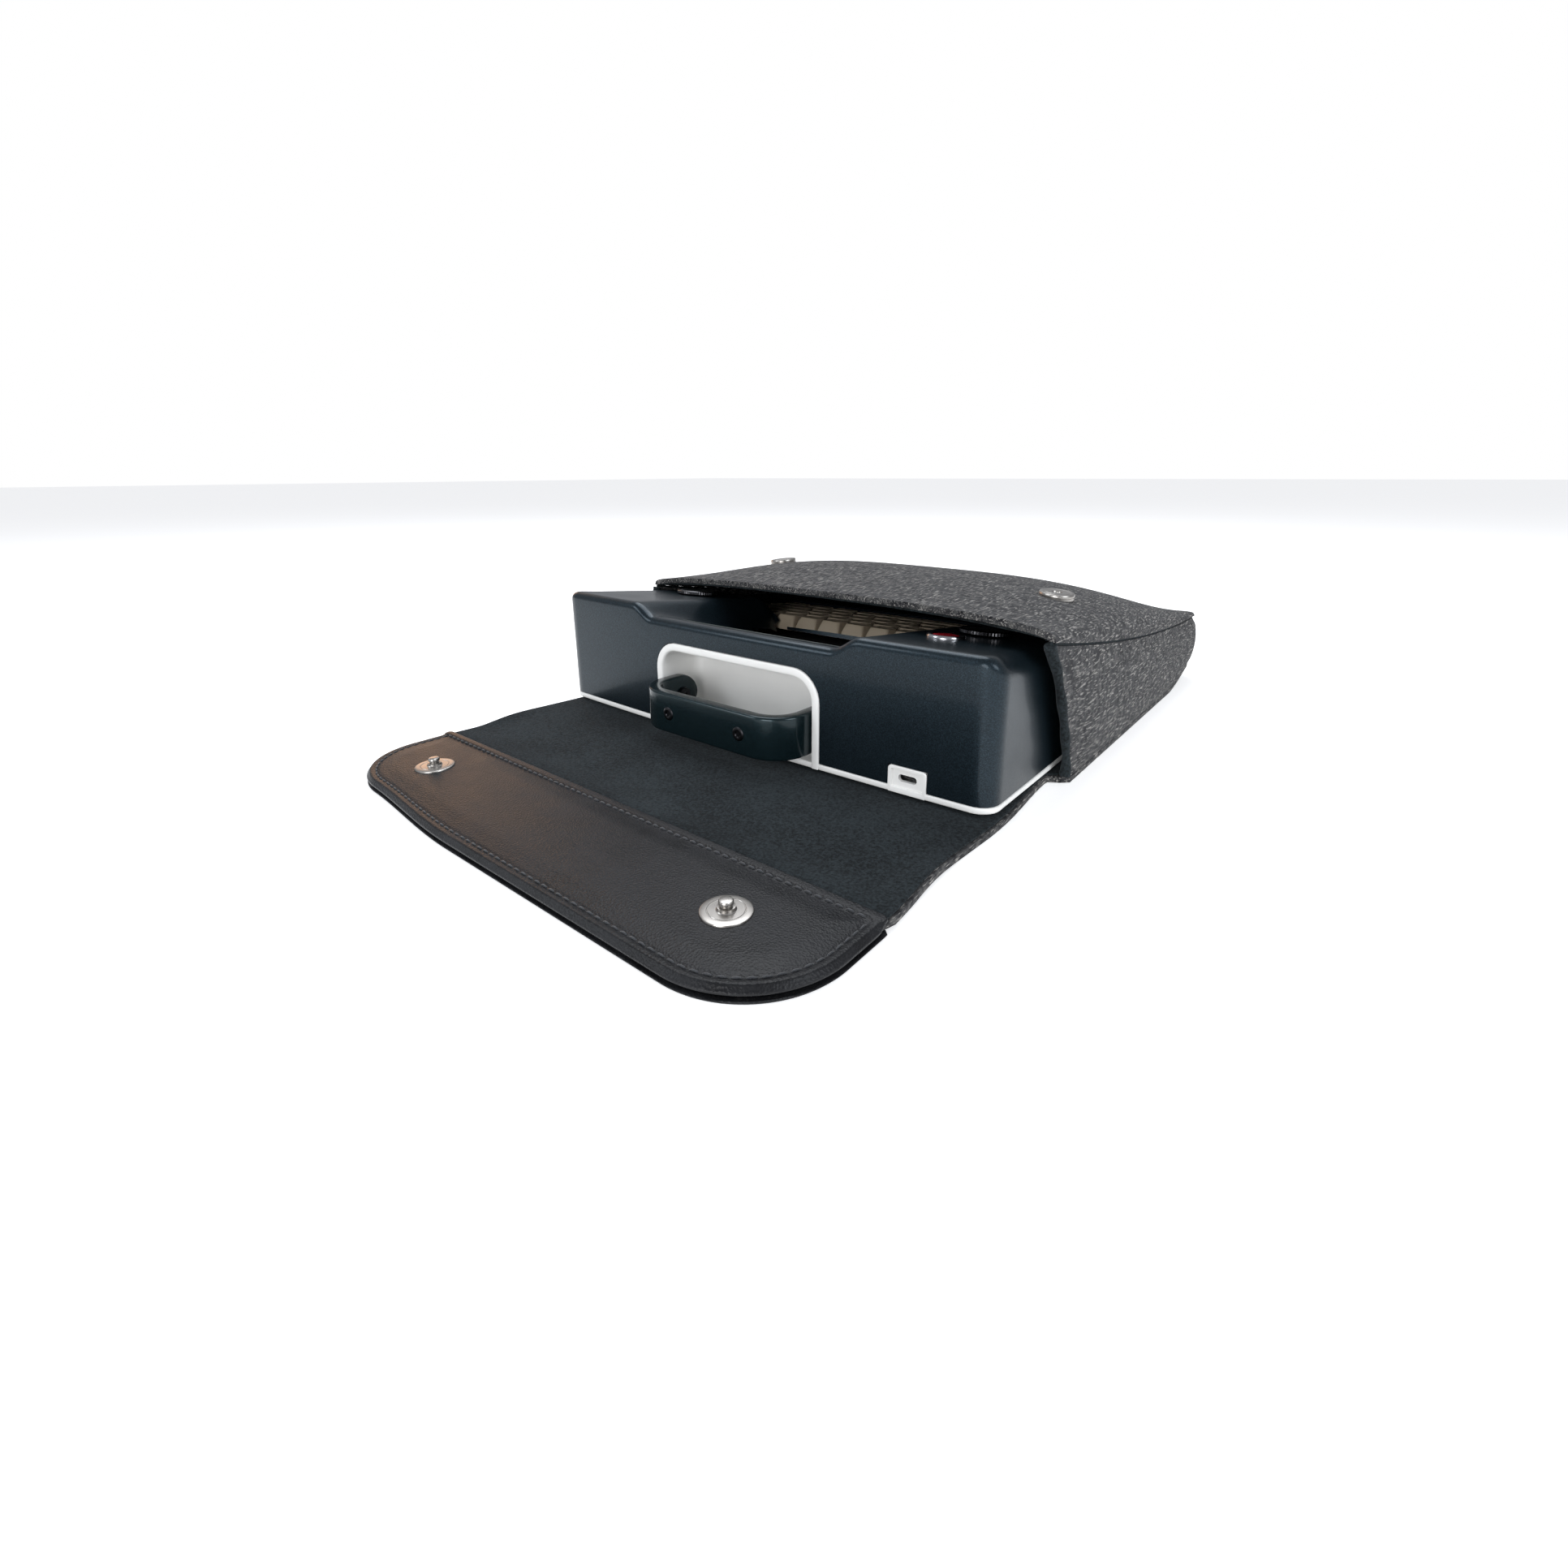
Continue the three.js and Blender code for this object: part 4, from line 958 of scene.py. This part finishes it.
def tube(name, path, radius, slot, sides=10):
    # a round section carried along a path, square to it
    ahead = np.gradient(path, axis=0)
    ahead /= np.linalg.norm(ahead, axis=1)[:, None]
    side = np.cross(ahead, [0, 0, 1.0])
    side /= np.maximum(np.linalg.norm(side, axis=1), 1e-9)[:, None]
    up = np.cross(side, ahead)
    angle = np.linspace(0, 2 * np.pi, sides, endpoint=False)
    radius = np.broadcast_to(radius, len(path))[:, None, None]
    section = side[:, None] * np.cos(angle)[None, :, None] + up[:, None] * np.sin(angle)[None, :, None]
    points = path[:, None] + radius * section
    ends = np.stack([np.tile(path[0], (sides, 1)), np.tile(path[-1], (sides, 1))])
    points = np.concatenate([ends[:1], points, ends[1:]])
    return makePiece(name, points, gridFaces(len(points), sides, wrapColumns=True), slot)


def makeSeam():
    # the dark joint that runs between the walls and the upper panel
    around = edged(420, 1.0)
    path = wallSurface(around, np.ones_like(around), 0.05, 3.4, 0.15)
    path[:, 2] += 0.2 * np.sin(np.arange(len(path)) * 0.9)
    cord = tube("top_seam", path, 0.85, "black_lining")
    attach(cord, "sleeve_top")


def flapEdges(depth):
    # half widths of the flat bottom sheet at each depth: full inside the sleeve, narrower and a little wavy
    # where it runs out, round at its far corners and at the flap's end
    s = sleeve
    inside = smooth(depth, s["mouthFoot"] - 5, s["mouthFoot"] + 2)
    shift = s["flapShift"] * (1 - smooth(depth, -88, -10))
    right = 144.2 + 1.6 * np.cos(2 * np.pi * (depth - 5) / 125)
    left = 144.4 + 1.4 * np.cos(2 * np.pi * (depth + 38) / 110)
    below = np.clip(-84 - depth, 0, 6) / 6
    right, left = mix(right, leather["half"] - 2.2, below), mix(left, leather["half"] - 2.2, below)
    full = s["half"] - 0.4
    right, left = mix(right + shift, full, inside), mix(left - shift, full, inside)
    past = np.clip(depth - (s["back"] - s["corner"]), 0, s["corner"] - 0.4)
    trim = s["corner"] - np.sqrt(s["corner"] ** 2 - past ** 2)
    radius = leather["radius"] - 2.2
    near = np.clip(leather["end"] + 2.2 + radius - depth, 0, radius)
    trim = trim + radius - np.sqrt(radius ** 2 - near ** 2)
    return left - trim, right - trim


leather = {"end": -152.0, "start": -88.0, "half": 144.2, "radius": 40.0, "pad": 0.7,
           "stitchInset": 4.8, "stitch": 3.4, "stitchGap": 1.0}
snaps = {"radius": 9.2}


def lift(depth, x):
    # height of the sheet's underside: up onto the lower leather, with a slight roll at its free edges
    onto = 1.3 * (1 - smooth(depth, -88, -66))
    roll = 1.6 * np.exp(-(((depth + 52) / 22) ** 2)) * smooth(np.abs(x), 129, 147)
    return onto + roll + footLift(depth)


def pull(x, depth):
    # how far the flap's end is drawn back towards its left corner
    return 6 * smooth(-x, 20, 110) * np.clip((-88 - depth) / 64, 0, 1)


def underSheet(depths, shares, height, inset, first, last):
    depth, share = np.meshgrid(depths, shares, indexing="ij")
    left, right = flapEdges(np.clip(depth, first, last))
    x = mix(-left + inset, right - inset, share)
    z = height + lift(depth, x)
    return np.stack([x, depth + pull(x, depth) + depthOrigin, z], -1)


def makeUnderSheet():
    nearDepths = leather["end"] + 2.2 + 40 * (1 - np.cos(np.linspace(0.02, np.pi / 2, 34)))
    farDepths = sleeve["back"] - 20 * (1 - np.cos(np.linspace(np.pi / 2, 0.05, 14)))
    between = np.linspace(nearDepths[-1], farDepths[0], 130)
    depths = np.concatenate([nearDepths[:-1], between, farDepths[1:]])
    shares = edged(72, 1.3)
    felt = sheetPiece("under_felt", underSheet(depths, shares, 1.5, 0, -152, 330), "grey_felt", 3.0, 0.5)
    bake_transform(felt)
    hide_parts("bottom_felt", "flap_felt")
    liningDepths = depths[(depths > -91.5) & (depths < 326)]
    points = underSheet(liningDepths, shares, 3.75, 1.0, -83, 326)
    inside = smooth(points[..., 1] - depthOrigin, 64, 74)
    points[..., 0] *= 1 - 0.024 * inside
    linen = sheetPiece("under_lining", points, "black_lining", 0.95, 0.25)
    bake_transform(linen)
    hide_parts("bottom_lining", "flap_lining")


def leatherArea(start):
    shift = sleeve["flapShift"]
    y0, y1 = leather["end"] + depthOrigin, start + depthOrigin
    return (-leather["half"] + shift, leather["half"] + shift, y0, y1, leather["radius"], 2.5)


def makeLeather():
    # two skins with the felt between them; the upper one is pulled down along the stitches and swells inside
    l = leather
    area = leatherArea(l["start"] + 0.5)

    def farSide(y):
        # 1 round the flap's outline, 0 at the inner edge, which lies on the lining
        return 1 - smooth(y - depthOrigin, l["start"] - 6, l["start"] - 3)

    def upper(x, y, away):
        pad = l["pad"] * smooth(away, l["stitchInset"] + 0.5, l["stitchInset"] + 11)
        groove = 0.4 * np.exp(-(((away - l["stitchInset"]) / 1.1) ** 2))
        edge = 1.5 * (1 - smooth(away, 0.2, 2.0)) * farSide(y)
        wrinkle = 0.3 * rumple(x * 1.7, y * 2.2, 0.6) * smooth(away, 6, 20)
        return 5.75 + 0.75 * (1 - farSide(y)) + pad - groove - edge - roundDrop(away, 0.8) + wrinkle

    def lower(x, y, away):
        return mix(5.5, 4.65 - 1.5 * (1 - smooth(away, 0.2, 2.0)), farSide(y))

    def slanted(points):
        out = points.copy()
        out[:, 1] += pull(points[:, 0], points[:, 1] - depthOrigin)
        return out

    front = plateSolid("upper_leather", area, 20, 1.5, upper, lower, "black_leather", warp=slanted,
                       fanSteps=22, bandSteps=30)
    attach(front, "flap")
    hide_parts("leather_front")
    back = plateSolid("lower_leather", area, 20, 2, lambda x, y, d: 1.05 - roundDrop(d, 0.3),
                      lambda x, y, d: roundDrop(d, 0.5), "black_leather", warp=slanted, fanSteps=16,
                      bandSteps=8)
    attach(back, "flap")
    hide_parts("leather_back")


def makeStitches():
    # the outline of the leather moved inwards, walked in equal steps; each stitch is a small spindle
    l = leather
    x0, x1, y0, y1, radius = leatherArea(l["start"] + 0.5)[:5]
    inset = l["stitchInset"]
    angle = np.linspace(0, np.pi / 2, 60)
    big = radius - inset
    corners = [
        (np.array([x1 - inset, y1 - inset]))[None],
        np.stack([x1 - radius + big * np.cos(angle), y0 + radius - big * np.sin(angle)], -1),
        np.stack([x0 + radius - big * np.sin(angle), y0 + radius - big * np.cos(angle)], -1),
        (np.array([x0 + inset, y1 - inset]))[None],
        (np.array([x1 - inset, y1 - inset]))[None],
    ]
    line = np.concatenate(corners)
    length = np.concatenate([[0], np.cumsum(np.linalg.norm(np.diff(line, axis=0), axis=1))])
    pitch = l["stitch"] + l["stitchGap"]
    middles = np.arange(pitch, length[-1] - pitch / 2, pitch)
    centre = np.stack([np.interp(middles, length, line[:, i]) for i in (0, 1)], -1)
    ahead = np.stack([np.interp(middles + 1, length, line[:, i]) for i in (0, 1)], -1) - centre
    ahead /= np.linalg.norm(ahead, axis=1)[:, None]
    side = np.stack([-ahead[:, 1], ahead[:, 0]], -1)
    along = np.linspace(-1, 1, 7)
    thick = 0.42 * np.sqrt(np.clip(1.02 - along ** 2, 0.0004, 1)) ** 0.6
    sag = 5.35 + 0.25 * (1 - along ** 2)
    around = np.linspace(0, 2 * np.pi, 6, endpoint=False)
    reach = along * l["stitch"] / 2
    flatSpot = centre[:, None, None] + ahead[:, None, None] * reach[None, :, None, None] + \
        side[:, None, None] * (thick[:, None] * np.cos(around))[None, :, :, None]
    height = np.broadcast_to(sag[:, None] + thick[:, None] * np.sin(around), flatSpot.shape[:3])
    points = np.concatenate([flatSpot, height[..., None]], -1)
    points[..., 1] += pull(points[..., 0], points[..., 1] - depthOrigin)
    points[..., 2] += 0.6 * smooth(points[..., 1] - depthOrigin, l["start"] - 6, l["start"] - 4)
    one = gridFaces(len(along), len(around), wrapColumns=True)
    caps = np.array([[0, 1, 2, 3], [3, 4, 5, 0]])
    caps = np.concatenate([caps[:, ::-1], caps + (len(along) - 1) * len(around)])
    one = np.concatenate([one, caps])
    faces = (one[None] + (np.arange(len(centre)) * len(along) * len(around))[:, None, None]).reshape(-1, 4)
    thread = makePiece("leather_stitches", points, faces, "black_leather", paint="thread", flat=80)
    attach(thread, "flap")


def makeSnaps():
    r = snaps["radius"]
    for side, sign in (("left", -1), ("right", 1)):
        low, high = nodeBox(f"snap_stud_{side}")
        spot = np.array([*((low + high)[:2] / 2), 6.55])
        disc = [(0, 4.5), (1.7, 4.5), (2.35, 4.3), (2.6, 3.9), (2.6, 3.1), (2.3, 2.75), (2.05, 2.6),
                (2.05, 2.2), (2.3, 2.1), (3.2, 2.0), (3.3, 1.0), (3.6, 0.72), (6.2, 0.66), (6.35, 0.52),
                (6.6, 0.52), (6.75, 0.66), (r - 0.7, 0.62), (r - 0.2, 0.45), (r, 0.1), (r, -0.3), (0, -0.3)]
        stud = turned(f"snap_post_{side}", disc, "snap_nickel", spot, 72)
        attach(stud, "flap")
        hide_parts(f"snap_stud_{side}")
        low, high = nodeBox(f"snap_socket_{side}")
        middle = (low + high) / 2
        slopeX = 0.10 * sign
        up = np.array([slopeX, -0.03, 1.0])
        up /= np.linalg.norm(up)
        right = np.cross([0, 1, 0], up)
        right /= np.linalg.norm(right)
        axes = [right, np.cross(up, right), up]
        cup = [(0, 0.6), (2.3, 0.6), (2.5, 2.9), (2.9, 3.4), (3.5, 3.5), (6.4, 3.45), (6.6, 3.3),
               (6.9, 3.45), (r - 0.8, 3.4), (r - 0.3, 3.2), (r, 2.7), (r, 1.9), (r - 0.25, 1.8),
               (r - 0.25, 1.6), (r, 1.5), (r, 0.2), (r - 0.5, -0.3), (0, -0.3)]
        socket = turned(f"snap_cup_{side}", cup, "snap_nickel", middle - up * 1.8, 72, axes)
        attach(socket, "sleeve_top")
        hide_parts(f"snap_socket_{side}")


def makeMouthBindings():
    # the lining turned out over each wall's mouth edge, as a soft flattened roll
    for side, start in (("left", 0.0), ("right", 1.0)):
        rise = np.linspace(0.02, 1.0, 40)
        path = wallSurface(np.full(40, start), rise, 0.4)
        path[:, 1] -= 0.6
        ends = 0.8 * smooth(rise, 0.9, 1.0) + 0.6 * (1 - smooth(rise, 0, 0.12))
        radius = 2.1 + 0.25 * np.sin(rise * 23) + ends
        roll = tube(f"mouth_roll_{side}", path, radius, "black_lining", sides=12)
        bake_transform(roll)
        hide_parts(f"mouth_binding_{side}")


makeUpperPanel()
makeWalls()
makeSeam()
makeUnderSheet()
makeLeather()
makeStitches()
makeSnaps()
makeMouthBindings()
print("sleeve made")
